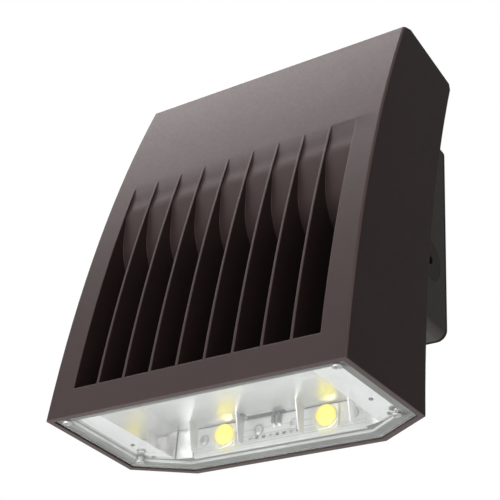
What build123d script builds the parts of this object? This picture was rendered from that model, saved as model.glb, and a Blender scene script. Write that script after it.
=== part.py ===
"""Compact LED wall pack: a hinged cast door with deep front fins over a wiring box on the wall.

Construction frame, millimetres: X to the right, Y towards the wall, Z up. Y is 0 at the door's
lower front edge and Z is 0 at the mouth of the lens recess. Every piece is moved at the end, so
that the origin lies on the wall at the middle of the wiring box.
"""

import os
from math import cos, radians, sin, sqrt, tan

from build123d import *

# ---- overall ----
depth = 95.0  # lower front edge of the door to the wall
front_width = 142.3  # across the front face
side_draft = 1.75  # degrees, how each side wall widens towards the wall
door_height = 186.1  # lens mouth to the front top edge
front_recession = 44.5  # how far the front face leans back over that height
front_bulge = 6.6  # bow of the front face in front of its chord
crest_rise = 2.4  # bevel above the front top edge
crest_run = 6.2
top_fall = 5.8  # how far the top drops towards the wall
top_setback = 6.4  # rear end of the top to the wall
top_edge = 3.0  # upright stretch under the top's rear end
edge_bevel = 0.7  # bevel of the long front edges

# ---- side skirts and optical heel ----
heel_setback = 18.8  # rear of the optical chamber to the wall
heel_chamfer_x = 25.6
heel_chamfer_y = 16.2
heel_height = 26.0
heel_wall = 8.1  # solid wall behind the light engine
skirt_top_setback = 5.5
skirt_bow = 6.7  # bow of the side panel's rear edge
skirt_wall = 2.8

# ---- fins ----
slot_count = 9
slot_setback = 15.8  # slots' back to the sealing rim
rib_width = 1.3  # at the face; the ribs thicken with depth
rib_draft = 1.0  # degrees on each side
frame_bar = 12.0  # plain face beside the outer slots
slot_foot = 13.0  # lower end of the slots
slot_head_drop = 60.6  # upper end of the slots below the front top edge
slot_step = 1.1  # sink of the slot floor below the face
slot_fade = 8.0  # height over which the floor runs out into the face
floor_upright = 20.2  # depth of the upright stretch of the slot floor
floor_roll_top = 94.0
floor_join_rise = 13.0
ledge_rise = 11.5  # rise of the slot's lower ledge
ledge_back = 16.2  # flat stretch of the ledge in front of the slots' back
casting_wall = 3.2

# ---- wiring box ----
box_clearance = 1.75  # each side, between the box and the skirts
box_height = 101.2
box_foot = 50.0  # underside of the box above the lens mouth
box_corner = 5.0
box_wall = 3.2
box_depth = 29.4
seal_thickness = 1.5
seal_width = 2.4
wall_seal = 2.0
groove_depth = 8.0  # groove between the door's rim and its skirts
running = 0.05  # radial clearance of turning and threaded fits
press_play = 0.01  # radial clearance of the pins in their ears
seat_gap = 0.1  # gap between faces that part when the door swings

# ---- hinge ----
pin_setback = 10.5  # pin to the wall
pin_drop = 11.6  # pin below the front top edge
pin_radius = 1.75
pin_head = 0.9  # radius that the pin's head adds
pin_head_length = 1.0
knuckle_radius = 4.2
hinge_inset = 14.6  # middle of each hinge from the side of the box
lug_width = 7.0
ear_width = 4.0
ear_gap = 0.5
foot_front = 9.0  # spread of the knuckles' feet in front of the pin
foot_rear = 6.0

# ---- door screws ----
tab_drop = 5.0  # upper face of the screw tabs below the box
tab_thickness = 5.0
tab_width = 14.0
tab_root = 7.0
stem_thickness = 6.0
tab_corner = 4.0
screw_inset = 28.6  # door screws from the sides of the box
screw_radius = 2.0
screw_neck = 1.5
screw_travel = 6.0
screw_head_radius = 4.0
screw_head_height = 2.6
screw_socket = 1.6
boss_radius = 5.5
boss_gap = 0.3
boss_rise = 7.0  # boss above the underside of the box
boss_bore = 9.0

# ---- box openings ----
conduit_radius = 10.3
conduit_drop = 18.0  # side entries below the middle of the box
conduit_boss = 12.6
conduit_boss_wall = 7.0
plug_thickness = 6.5
plug_socket = 2.5  # half the width of the hexagon socket
plug_socket_depth = 4.5
wire_entry_radius = 14.0
box_screw_spacing = 88.9
box_slot_length = 12.0
box_slot_radius = 2.6
wall_screw_inset_x = 12.6
wall_screw_inset_z = 12.6
wall_screw_radius = 2.6

# ---- optics ----
lens_rim = 2.6  # width of the casting around the lens
lens_play = 0.3
lens_corner = 1.5
lens_drop = 0.5  # lens face above the mouth
lens_thickness = 3.2
lens_seal = 1.2
lens_seal_width = 5.2
lens_screw_radius = 1.4
lens_screw_play = 0.2
lens_boss = 3.0  # bosses in the chamber for the lens screws
lens_screw_head = 2.2
lens_screw_head_height = 0.9
lens_screw_length = 6.8
lens_screw_inset = 7.0  # front screws from the sides of the mouth
lens_screw_front = 5.9  # front screws from the front edge
lens_screw_rear_inset = 9.6
lens_screw_rear = 5.5  # rear screws in front of the side corners
mirror_height = 18.6  # underside of the flat mirror
mirror_sheet = 0.6
mirror_gap = 0.3  # between the mirror and the casting
mirror_setback = 3.0  # rear edge of the mirror to the board
mirror_inset = 19.65  # end mirrors from the sides of the mouth
mirror_lip = 2.6  # upright front lip of the mirror
cheek_offsets = (-10.5, 14.0)  # bent-down cheeks either side of each light source
cheek_reach = 7.0
board_thickness = 1.6
board_height = 13.0
board_inset = 4.4  # end of the board inside the heel's rear corners
board_gap = 0.5  # board above the lens seat
board_screw_radius = 1.25
board_screw_length = 7.0
board_screw_head = 2.4
board_screw_head_height = 1.4
board_screw_inner = 9.0
board_screw_outer = 5.5  # outer screws from the board's ends
pad_thickness = 0.5
led_inset = 17.48  # light sources from the board's ends
led_height = 12.5
led_base = 10.4
led_base_thickness = 1.0
led_base_corner = 0.8
led_dome_radius = 5.1
phosphor_radius = 4.0
phosphor_thickness = 0.4

# ---- driver and leads ----
driver_width = 84.0
driver_height = 40.0
driver_depth = 21.0
driver_corner = 2.0
driver_rise = 19.4  # middle of the driver above the middle of the box
bracket_sheet = 1.2
bracket_height = 48.0
bracket_inset = 10.6  # ends of the bracket from the sides of the box
bracket_corner = 3.0
bracket_flange = 12.0
post_radius = 3.6
post_inset = 4.0
post_height = 3.2  # shortest post between the casting and the bracket
driver_screw_radius = 1.6
driver_screw_length = 6.0
driver_screw_head = 3.0
driver_screw_head_height = 2.0
lead_radius = 0.9
lead_exit = 12.0  # leads from the driver's front face
lead_bend = 2.0
lead_drop = 12.0
lead_tail = 4.0  # stretch of each lead on the board's face
channel_height = 4.0  # channel for the leads over the mirror
pair_spacing = 2.8
duct_width = 16.0
duct_radius = 3.4
duct_setback = 6.0  # duct from the sealing rim
grommet_wall = 1.0
grommet_flange = 1.4
grommet_length = 4.0
grommet_flange_height = 1.2
connector_width = 9.0
connector_height = 15.0
connector_margin = 2.3  # between the connectors and the walls beside them
connector_spacing = 12.0
connector_inset = 18.6  # first connector from the side of the box
lead_gather = 0.8  # spread of the supply leads at the driver over that at the connectors
connector_port = 1.3
connector_port_offset = 2.2
connector_port_depth = 8.0
connector_corner = 1.0
ground_place = 30.0
ground_rise = 7.0
ground_head = 3.4
ground_head_height = 2.2
slot_half = 0.35  # half the width of a screwdriver slot
slot_sink = 0.8  # depth of a screwdriver slot

# ---- facets of the small round pieces ----
shank_sides = 8  # hidden shanks, their holes and the leads
head_sides = 12  # screw heads, bosses and sleeves
dome_sides = 16
dome_rings = 5

# ---- values that follow from the sizes above ----
over = 1.0  # how far a cut runs past the face it opens
front_clear = 10.0  # how far the slots' cutters start in front of the face
draft = tan(radians(side_draft))
lean = front_recession / door_height
heel_depth = depth - heel_setback
skirt_foot = heel_depth - heel_chamfer_y
skirt_top = depth - skirt_top_setback
box_width = front_width - 2 * (skirt_wall + box_clearance)
box_back = depth - wall_seal
box_front = box_back - box_depth
box_top = box_foot + box_height
box_middle = box_foot + box_height / 2
seal_face = box_front - seat_gap
parting = seal_face - seal_thickness
slot_depth = parting - slot_setback
slot_head = door_height - slot_head_drop
slot_width = (front_width - 2 * frame_bar - (slot_count - 1) * rib_width) / slot_count
floor_roll = slot_depth - floor_upright
floor_join = floor_roll_top + floor_join_rise
ledge_run = slot_depth - ledge_back
pin_depth = depth - pin_setback
pin_height = door_height - pin_drop
hinge_spacing = box_width - 2 * hinge_inset
tab_height = box_foot - tab_drop
screw_spacing = box_width - 2 * screw_inset
wall_screw_span_x = box_width - 2 * wall_screw_inset_x
wall_screw_span_z = box_height - 2 * wall_screw_inset_z
lens_top = lens_drop + lens_thickness
seat_height = lens_top + lens_seal
chamber_inset = lens_rim + lens_seal_width
chamber_roof = mirror_height + mirror_sheet + mirror_gap
board_back = heel_depth - heel_wall - pad_thickness
board_foot = seat_height + board_gap
board_half = front_width / 2 + draft * skirt_foot - heel_chamfer_x - board_inset
led_face = board_back - board_thickness
led_half = board_half - led_inset
mirror_rear = led_face - mirror_setback
mirror_half = front_width / 2 - mirror_inset
driver_middle = box_middle + driver_rise
driver_foot = driver_middle - driver_height / 2
bracket_width = box_width - 2 * bracket_inset
duct_middle = parting - duct_setback
crest = (front_recession + crest_run, door_height + crest_rise)
top_rear = (depth - top_setback, crest[1] - top_fall)


def circle_through(a, b, bow):
    """Centre and radius of the arc from a to b that bows by bow towards the front."""
    chord = sqrt((b[0] - a[0]) ** 2 + (b[1] - a[1]) ** 2)
    radius = chord**2 / (8 * bow) + bow / 2
    across = ((b[1] - a[1]) / chord, -(b[0] - a[0]) / chord)
    reach = radius - bow
    middle = ((a[0] + b[0]) / 2, (a[1] + b[1]) / 2)
    return (middle[0] + across[0] * reach, middle[1] + across[1] * reach), radius


front_centre, front_radius = circle_through((0, 0), (front_recession, door_height), front_bulge)
rear_end = top_rear[1] - top_edge
rear_centre, rear_radius = circle_through((skirt_foot, 0), (skirt_top, rear_end), skirt_bow)


def face_depth(height, inset=0.0):
    """Depth of the front face at a height, or of a wall's inner face at an inset."""
    reach = front_radius - inset
    return front_centre[0] - sqrt(reach**2 - (height - front_centre[1]) ** 2)


bracket_top = driver_middle + bracket_height / 2
bracket_depth = face_depth(bracket_top, casting_wall + slot_step) + post_height
driver_face = bracket_depth + bracket_sheet


def rear_depth(height):
    return rear_centre[0] - sqrt(rear_radius**2 - (height - rear_centre[1]) ** 2)


def face_arc(low, high, inset=0.0):
    """Stretch of the front curve between two heights."""
    heights = (low, (low + high) / 2, high)
    return ThreePointArc(*[(face_depth(z, inset), z) for z in heights])


def side_prism(wires, half):
    """Solid of a closed outline in the YZ plane, as wide as half on each side."""
    edges = [edge for wire in wires for edge in (Plane.YZ * wire).edges()]
    return extrude(make_face(edges), amount=half, both=True)


def wedge(half, slope, near, far):
    """Block whose half width is half on the leaning front and changes by slope with depth."""
    half_near = half + slope * near
    half_far = half + slope * far
    corners = [(-half_near, near), (half_near, near), (half_far, far), (-half_far, far)]
    outline = Pos(0, -lean * depth, -depth) * make_face(Polyline(*corners, close=True))
    rise = Vector(0, lean, 1) * (door_height + 2 * depth)
    return extrude(outline, amount=rise.length, dir=rise)


def side_wedge(inset=0.0):
    """Block between the two drafted side walls, moved inwards by inset."""
    return wedge(front_width / 2 - inset, draft, -depth, 2 * depth)


def block(x, y, z):
    """Box between two corners, given as (low, high) along each axis."""
    low = (x[0], y[0], z[0])
    return Pos(*low) * Box(x[1] - x[0], y[1] - y[0], z[1] - z[0], align=(Align.MIN,) * 3)


def rod(radius, start, direction, length):
    """Cylinder from a start point along a direction."""
    return Plane(origin=start, z_dir=direction) * Cylinder(
        radius, length, align=(Align.CENTER, Align.CENTER, Align.MIN)
    )


def bar(radius, start, direction, length, sides=shank_sides):
    """Prism with a regular outline, its corners on the radius, for the many small round parts."""
    outline = Plane(origin=start, z_dir=direction) * RegularPolygon(radius, sides)
    return extrude(outline, amount=length)


def screw_head(radius, place, outward, height, bevel):
    """Low screw head that stands on a face, bevelled round its free end."""
    head = bar(radius, place, outward, height, head_sides)
    free = max(head.faces(), key=lambda f: f.center().dot(Vector(*outward)))
    return chamfer(free.edges(), bevel)


def box_outline(inset=0.0):
    """Face of the wiring box in the XZ plane, centred on the box."""
    corner = max(box_corner - inset, 0.8)
    return RectangleRounded(box_width - 2 * inset, box_height - 2 * inset, corner)


def box_prism(front, back, inset=0.0):
    """Solid of the box's outline between two depths."""
    plane = Plane(origin=(0, front, box_middle), x_dir=(1, 0, 0), z_dir=(0, 1, 0))
    return extrude(plane * box_outline(inset), amount=back - front)


def mouth(inset=0.0):
    """Outline of the optical chamber seen from below."""
    half_front = front_width / 2
    half_rear = half_front + draft * skirt_foot
    half_heel = half_rear - heel_chamfer_x
    corners = [
        (-half_front, 0),
        (half_front, 0),
        (half_rear, skirt_foot),
        (half_heel, heel_depth),
        (-half_heel, heel_depth),
        (-half_rear, skirt_foot),
    ]
    outline = make_face(Polyline(*corners, close=True))
    return offset(outline, -inset, kind=Kind.INTERSECTION) if inset else outline


def mouth_prism(low, high, inset=0.0):
    return extrude(Pos(0, 0, low) * mouth(inset), amount=high - low)


# ---- door casting ----
def door_blank():
    """Outer form: bowed front, bevelled crest, drafted sides and the heel behind the lens."""
    middle = rear_end / 2
    outline = [
        face_arc(0, door_height),
        Line((face_depth(door_height), door_height), crest),
        Line(crest, top_rear),
        Line(top_rear, (rear_depth(rear_end), rear_end)),
        ThreePointArc(
            (rear_depth(rear_end), rear_end), (rear_depth(middle), middle), (rear_depth(0), 0)
        ),
        Line((rear_depth(0), 0), (face_depth(0), 0)),
    ]
    upper = side_prism(outline, front_width)
    heel = mouth_prism(0, heel_height) & block(
        (-front_width, front_width), (skirt_foot / 2, heel_depth), (0, heel_height)
    )
    blank = (upper + heel) & side_wedge()
    corners = [e for e in blank.edges() if e.bounding_box().size.Z > door_height / 2]
    front = sorted(corners, key=lambda e: e.center().Y)[:2]
    return chamfer(front, edge_bevel)


def rear_hollow():
    """Hollow behind the sealing rim: the hood over the box and the notch over the heel."""
    notch = slot_depth + casting_wall
    inner_crest = (crest[0] + 0.5, crest[1] - casting_wall)
    hood_top = inner_crest[1] - (top_fall / (top_rear[0] - crest[0])) * (depth - crest[0])
    low = box_top
    high = inner_crest[1] - crest_rise
    outline = [
        Polyline((notch, heel_height), (depth, heel_height), (depth, hood_top), inner_crest),
        Line(inner_crest, (face_depth(high, casting_wall), high)),
        face_arc(low, high, casting_wall),
        Polyline(
            (face_depth(low, casting_wall), low),
            (parting, low),
            (parting, box_foot),
            (notch, box_foot),
            (notch, heel_height),
        ),
    ]
    return side_prism(outline, front_width) & side_wedge(skirt_wall)


def wiring_hollow():
    """Closed compartment in front of the sealing rim, for the driver and the leads."""
    low = box_foot + box_wall
    high = box_top - box_wall
    back_wall = slot_depth + casting_wall
    centre = (floor_upright + floor_roll, floor_roll_top)
    inner = floor_roll - casting_wall
    turn = [(centre[0] - inner * cos(a), centre[1] - inner * sin(a)) for a in (0, radians(45))]
    join = floor_join
    inset = casting_wall + slot_step
    outline = [
        Polyline((parting, high), (parting, low), (back_wall, low), (back_wall, centre[1] - inner)),
        Line((back_wall, centre[1] - inner), (centre[0], centre[1] - inner)),
        ThreePointArc((centre[0], centre[1] - inner), turn[1], turn[0]),
        Line(turn[0], (face_depth(join, inset), join)),
        face_arc(join, high, inset),
        Line((face_depth(high, inset), high), (parting, high)),
    ]
    return side_prism(outline, box_width / 2 - box_wall)


def slot_cutter():
    """One slot between two ribs, from in front of the face to its curved floor."""
    centre = (floor_upright + floor_roll, floor_roll_top)
    half_turn = radians(45)
    middle = (centre[0] - floor_roll * cos(half_turn), centre[1] - floor_roll * sin(half_turn))
    join = floor_join
    fade = slot_head - slot_fade
    front = -front_clear
    ledge_front = (face_depth(slot_foot), slot_foot)
    outline = [
        Polyline(
            (front, slot_head),
            (front, slot_foot),
            ledge_front,
            (ledge_run, slot_foot + ledge_rise),
            (slot_depth, slot_foot + ledge_rise),
            (slot_depth, centre[1] - floor_roll),
        ),
        ThreePointArc((slot_depth, centre[1] - floor_roll), middle, (floor_upright, centre[1])),
        Line((floor_upright, centre[1]), (face_depth(join, slot_step), join)),
        face_arc(join, fade, slot_step),
        Line((face_depth(fade, slot_step), fade), (face_depth(slot_head), slot_head)),
        Line((face_depth(slot_head), slot_head), (front, slot_head)),
    ]
    taper = wedge(slot_width / 2, -tan(radians(rib_draft)), front, depth)
    return side_prism(outline, slot_width) & taper


def slot_places():
    pitch = slot_width + rib_width
    return [pitch * (i - (slot_count - 1) / 2) for i in range(slot_count)]


def mirror_line():
    """Points of the mirror's reflecting side, from its front lip to its rear edge."""
    front = chamber_inset + mirror_sheet + 0.1
    foot = seat_height + 0.2
    return [
        (front, foot),
        (front, foot + mirror_lip),
        (ledge_run - 1.0, mirror_height),
        (mirror_rear, mirror_height),
    ]


def chamber_hollow():
    """Optical chamber with a sloping front roof, over the stepped seat of the lens."""
    lip, ramp_foot, ramp_top, _ = mirror_line()
    above = mirror_sheet + mirror_gap
    outline = Polyline(
        (lip[0] - 2.0, 0),
        (lip[0] - 2.0, ramp_foot[1] + above),
        (ramp_foot[0] - above / 2, ramp_foot[1] + above),
        (ramp_top[0] - above / 2, chamber_roof),
        (heel_depth - heel_wall, chamber_roof),
        (heel_depth - heel_wall, 0),
        (lip[0] - 2.0, 0),
    )
    roofed = side_prism([outline], front_width)
    return roofed & mouth_prism(0, chamber_roof, chamber_inset)


def lens_screw_places():
    front = (front_width / 2 - lens_screw_inset, lens_screw_front)
    rear_y = skirt_foot - lens_screw_rear
    rear = (front_width / 2 + draft * rear_y - lens_screw_rear_inset, rear_y)
    return [(side * x, y) for x, y in (front, rear) for side in (-1, 1)]


def hinge_places():
    return [-hinge_spacing / 2, hinge_spacing / 2]


def screw_places():
    return [-screw_spacing / 2, screw_spacing / 2]


def knuckle(middle, width, foot):
    """Round hinge knuckle on an upright foot, given as (low, high) depths and a height."""
    depths, height = foot
    outline = [
        Line((depths[0], height), (pin_depth - knuckle_radius, pin_height)),
        ThreePointArc(
            (pin_depth - knuckle_radius, pin_height),
            (pin_depth, pin_height + (knuckle_radius if height < pin_height else -knuckle_radius)),
            (pin_depth + knuckle_radius, pin_height),
        ),
        Line((pin_depth + knuckle_radius, pin_height), (depths[1], height)),
        Line((depths[1], height), (depths[0], height)),
    ]
    return Pos(middle, 0, 0) * side_prism(outline, width / 2)


def driver_post_places():
    across = bracket_width / 2 - post_inset
    up = bracket_height / 2 - post_inset
    return [(x, driver_middle + z) for x in (-across, across) for z in (-up, up)]


def sealing_groove():
    """Cut between the rim that meets the box and the skirts outside it."""
    band = block(
        (-front_width, front_width), (parting - groove_depth, parting), (heel_height, box_top)
    )
    rim = box_prism(parting - groove_depth - over, parting + over)
    return (band & side_wedge(skirt_wall)) - rim


def lead_duct():
    """Upright duct that carries the light engine's leads past the notch over the heel."""
    half = duct_width / 2
    return block((-half, half), (slot_depth, parting), (heel_height - over, box_foot + over))


def front_wall_depth(height):
    """Depth of the compartment's front wall, behind the slots' floor."""
    upper = face_depth(max(height, floor_join), casting_wall + slot_step)
    if height >= floor_join:
        return upper
    share = (height - floor_roll_top) / floor_join_rise
    return (floor_upright + casting_wall) * (1 - share) + upper * share


def driver_post(x, z):
    start = front_wall_depth(z) - over
    return bar(post_radius, (x, start, z), (0, 1, 0), bracket_depth - start)


def hinge_lug(x):
    roof = top_rear[1] - casting_wall / 2
    return knuckle(x, lug_width, ((pin_depth - foot_front, top_rear[0] - over), roof))


def screw_tab(x):
    """Tab on a stem behind the heel, which reaches under the box for the door screw."""
    sides = (x - tab_width / 2, x + tab_width / 2)
    root = heel_depth - tab_root
    reach = pin_depth + tab_width / 2 - 1.5
    tab = block(sides, (root, reach), (tab_height - tab_thickness, tab_height))
    tab = fillet((tab.edges() | Axis.Z).sort_by(Axis.Y)[-2:], tab_corner)
    return tab + block(sides, (root, root + stem_thickness), (heel_height - over, tab_height))


def door_housing():
    door = door_blank() - rear_hollow() - wiring_hollow() - sealing_groove()
    for x in slot_places():
        door -= Pos(x, 0, 0) * slot_cutter()
    door -= chamber_hollow()
    door -= mouth_prism(-over, seat_height, lens_rim)
    for x, y in lens_screw_places():
        door += bar(lens_boss, (x, y, seat_height), (0, 0, 1), chamber_roof - seat_height + over)
        door -= bar(lens_screw_radius, (x, y, 0), (0, 0, 1), lens_drop + lens_screw_length + over)
    door += lead_duct()
    duct_length = box_foot + box_wall - chamber_roof + 2 * over
    duct_foot = (0, duct_middle, chamber_roof - over)
    door -= bar(duct_radius, duct_foot, (0, 0, 1), duct_length, head_sides)
    door -= block(
        (-duct_radius, duct_radius),
        (duct_middle, board_back - board_thickness),
        (chamber_roof - over, chamber_roof + channel_height),
    )
    for x, z in driver_post_places():
        door += driver_post(x, z)
        door -= bar(driver_screw_radius, (x, bracket_depth, z), (0, -1, 0), driver_screw_length)
    for x in hinge_places():
        door += hinge_lug(x)
        start = (x - lug_width, pin_depth, pin_height)
        door -= rod(pin_radius + running, start, (1, 0, 0), 2 * lug_width)
    for x in screw_places():
        door += screw_tab(x)
        start = (x, pin_depth, tab_height - tab_thickness - over)
        door -= rod(screw_radius + running, start, (0, 0, 1), tab_thickness + 2 * over)
    for x in board_screw_places():
        start = (x, led_face, led_height)
        door -= bar(board_screw_radius, start, (0, 1, 0), board_screw_length + over)
    return door


# ---- wiring box ----
def conduit_frames():
    """Start point and outward direction of each conduit entry, on the box's outer faces."""
    middle = (box_front + box_back) / 2
    half = box_width / 2
    return {
        "left": ((-half, middle, box_middle - conduit_drop), (-1, 0, 0)),
        "right": ((half, middle, box_middle - conduit_drop), (1, 0, 0)),
        "bottom": ((0, middle, box_foot), (0, 0, -1)),
    }


def wall_openings():
    """Everything that passes through the back wall and the wall gasket."""
    start = box_back - box_wall - over
    length = depth + over - start
    cut = rod(wire_entry_radius, (0, start, box_middle), (0, 1, 0), length)
    plane = Plane(origin=(0, start, box_middle), x_dir=(1, 0, 0), z_dir=(0, 1, 0))
    slot = SlotOverall(box_slot_length, 2 * box_slot_radius)
    for side in (-1, 1):
        cut += extrude(plane * Pos(side * box_screw_spacing / 2, 0) * slot, amount=length)
        for up in (-1, 1):
            place = (side * wall_screw_span_x / 2, start, box_middle + up * wall_screw_span_z / 2)
            cut += rod(wall_screw_radius, place, (0, 1, 0), length)
    return cut


def back_box():
    shell = box_prism(box_front, box_back)
    cavity = box_prism(box_front - over, box_back - box_wall, box_wall)
    box = shell - cavity
    for start, outward in conduit_frames().values():
        inward = tuple(-v for v in outward)
        boss = bar(conduit_boss, start, inward, conduit_boss_wall, head_sides)
        box += boss & shell
    for start, outward in conduit_frames().values():
        inward = tuple(-v for v in outward)
        begin = tuple(p + v for p, v in zip(start, outward))
        box -= rod(conduit_radius, begin, inward, conduit_boss_wall + 2 * over)
    box -= wall_openings()
    for x in screw_places():
        foot = tab_height + boss_gap
        length = box_foot - foot + boss_rise
        box += bar(boss_radius, (x, pin_depth, foot), (0, 0, 1), length, head_sides)
        hole = screw_radius + running
        box -= rod(hole, (x, pin_depth, foot - over), (0, 0, 1), boss_bore + over)
    for x in hinge_places():
        for side in (-1, 1):
            middle = x + side * (lug_width / 2 + ear_gap + ear_width / 2)
            foot = ((pin_depth - foot_front, pin_depth + foot_rear), box_top - over)
            box += knuckle(middle, ear_width, foot)
        reach = lug_width + 2 * ear_gap + 2 * ear_width
        start = (x - reach / 2 - over, pin_depth, pin_height)
        box -= rod(pin_radius + press_play, start, (1, 0, 0), reach + 2 * over)
    return box


def wall_gasket():
    return box_prism(box_back, depth) - wall_openings()


def door_gasket():
    inset = (box_wall - seal_width) / 2
    return box_prism(parting, seal_face, inset) - box_prism(
        parting - over, seal_face + over, inset + seal_width
    )


def hinge_pin(x):
    length = lug_width + 2 * ear_gap + 2 * ear_width
    end = x - length / 2
    shank = rod(pin_radius, (end, pin_depth, pin_height), (1, 0, 0), length)
    return shank + rod(
        pin_radius + pin_head, (end, pin_depth, pin_height), (-1, 0, 0), pin_head_length
    )


def conduit_plug(start, outward):
    inward = tuple(-v for v in outward)
    body = rod(conduit_radius - running, start, inward, plug_thickness)
    hexagon = Plane(origin=start, z_dir=inward) * RegularPolygon(plug_socket, 6, major_radius=False)
    return body - extrude(hexagon, amount=plug_socket_depth)


# ---- door screws ----
def captive_screw(x):
    """Screw with a relieved neck, stored backed out so that the door is free."""
    tip_top = tab_height
    tip_length = screw_travel
    head_top = tab_height - tab_thickness - screw_travel
    tip = rod(screw_radius, (x, pin_depth, tip_top), (0, 0, -1), tip_length)
    neck_length = tip_top - tip_length - head_top
    neck = bar(screw_neck, (x, pin_depth, tip_top - tip_length), (0, 0, -1), neck_length)
    head = rod(screw_head_radius, (x, pin_depth, head_top), (0, 0, -1), screw_head_height)
    head = chamfer(head.edges().sort_by(Axis.Z)[0], 0.8)
    plane = Plane(origin=(x, pin_depth, head_top - screw_head_height), z_dir=(0, 0, 1))
    hexagon = plane * RegularPolygon(screw_socket, 6, major_radius=False)
    return tip + neck + head - extrude(hexagon, amount=screw_socket)


# ---- optics ----
def lens():
    plate = mouth_prism(lens_drop, lens_top, lens_rim + lens_play)
    plate = fillet(plate.edges() | Axis.Z, lens_corner)
    hole = lens_screw_radius + lens_screw_play
    for x, y in lens_screw_places():
        plate -= bar(hole, (x, y, 0), (0, 0, 1), seat_height)
    return plate


def lens_gasket():
    ring = mouth_prism(lens_top, seat_height, lens_rim + lens_play)
    ring -= mouth_prism(lens_top - over, seat_height + over, chamber_inset)
    hole = lens_screw_radius + lens_screw_play
    for x, y in lens_screw_places():
        ring -= bar(hole, (x, y, 0), (0, 0, 1), seat_height + over)
    return ring


def lens_screw(x, y):
    place = (x, y, lens_drop)
    head = screw_head(lens_screw_head, place, (0, 0, -1), lens_screw_head_height, 0.4)
    shank = bar(lens_screw_radius - running, place, (0, 0, 1), lens_screw_length)
    foot = lens_drop - lens_screw_head_height
    slot = block(
        (x - lens_screw_head, x + lens_screw_head),
        (y - slot_half, y + slot_half),
        (foot - over, foot + slot_sink),
    )
    return head + shank - slot


def cheek(x):
    """Upright cheek bent down from the flat roof beside a light source."""
    half = mirror_sheet / 2
    outline = Polyline(
        (mirror_rear - cheek_reach, mirror_height + half),
        (mirror_rear, mirror_height + half),
        (mirror_rear, seat_height + over),
        (mirror_rear - cheek_reach / 2, seat_height + over),
        (mirror_rear - cheek_reach, mirror_height + half),
    )
    return Pos(x, 0, 0) * side_prism([outline], half)


def reflector():
    """Bent mirror sheet: a short front lip, a ramp and a flat roof over the light sources."""
    lip, ramp_foot, ramp_top, rear = mirror_line()
    t = mirror_sheet
    outline = Polyline(
        lip,
        ramp_foot,
        ramp_top,
        rear,
        (rear[0], rear[1] + t),
        (ramp_top[0] - t / 4, ramp_top[1] + t),
        (ramp_foot[0] - t, ramp_foot[1] + t / 2),
        (lip[0] - t, lip[1]),
        lip,
    )
    sheet = side_prism([outline], mirror_half)
    return sheet + [cheek(side * (led_half + x)) for x in cheek_offsets for side in (-1, 1)]


def reflector_end(side):
    """End mirror under the sheet's end, with a shelf that reaches out to the lens seal."""
    lip, ramp_foot, ramp_top, rear = mirror_line()
    outline = Polyline(lip, ramp_foot, ramp_top, rear, (rear[0], lip[1]), lip)
    plate = Pos(mirror_half - mirror_sheet / 2, 0, 0) * side_prism([outline], mirror_sheet / 2)
    shelf = mouth_prism(lip[1], lip[1] + mirror_sheet, chamber_inset + mirror_gap)
    shelf &= block((mirror_half - mirror_sheet, front_width), (lip[0], rear[0]), (0, depth))
    for x, y in lens_screw_places():
        shelf -= bar(lens_boss + mirror_gap, (x, y, 0), (0, 0, 1), chamber_roof)
    end = plate + shelf
    return end if side > 0 else mirror(end, Plane.YZ)


def board_screw_places():
    outer = board_half - board_screw_outer
    return [side * x for x in (board_screw_inner, outer) for side in (-1, 1)]


def board_layer(front, back):
    """One layer of the board's outline, with its screw holes."""
    heights = (board_foot, board_foot + board_height)
    layer = block((-board_half, board_half), (front, back), heights)
    for x in board_screw_places():
        start = (x, front - over, led_height)
        hole = board_screw_radius + lens_screw_play
        layer -= bar(hole, start, (0, 1, 0), back - front + 2 * over)
    return layer


def led_board():
    return board_layer(led_face, board_back)


def thermal_pad():
    return board_layer(board_back, board_back + pad_thickness)


def board_screw(x):
    place = (x, led_face, led_height)
    head = screw_head(board_screw_head, place, (0, -1, 0), board_screw_head_height, 0.5)
    shank = bar(board_screw_radius - running, place, (0, 1, 0), board_screw_length)
    front = led_face - board_screw_head_height
    slot = block(
        (x - board_screw_head, x + board_screw_head),
        (front - over, front + slot_sink),
        (led_height - slot_half, led_height + slot_half),
    )
    return head + shank - slot


def led_places():
    return [-led_half, led_half]


def led_package(x):
    half = led_base / 2
    base = block(
        (x - half, x + half),
        (led_face - led_base_thickness, led_face),
        (led_height - half, led_height + half),
    )
    return chamfer(base.edges() | Axis.Y, led_base_corner)


def led_phosphor(x):
    face = led_face - led_base_thickness
    place = (x, face, led_height)
    return bar(phosphor_radius, place, (0, -1, 0), phosphor_thickness, dome_sides)


def faceted(rings):
    """Solid with flat sides between faces that have as many corners each."""
    corners = [[v.center() for v in ring.outer_wire().vertices()] for ring in rings]
    sides = []
    for low, high in zip(corners, corners[1:]):
        for i in range(len(low)):
            outline = Wire.make_polygon([low[i - 1], low[i], high[i], high[i - 1]])
            sides.append(Face(outline))
    return Solid(Shell([rings[0], rings[-1], *sides]))


def led_dome(x):
    """Dome over the phosphor, in rings of flat facets whose corners lie on the sphere."""
    face = led_face - led_base_thickness
    rings = []
    for ring in range(dome_rings):
        turn = radians(90) * ring / dome_rings
        front = face - led_dome_radius * sin(turn)
        plane = Plane(origin=(x, front, led_height), z_dir=(0, -1, 0))
        outline = plane * RegularPolygon(led_dome_radius * cos(turn), dome_sides)
        rings.append(outline.face())
    return faceted(rings) - led_phosphor(x)


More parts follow.
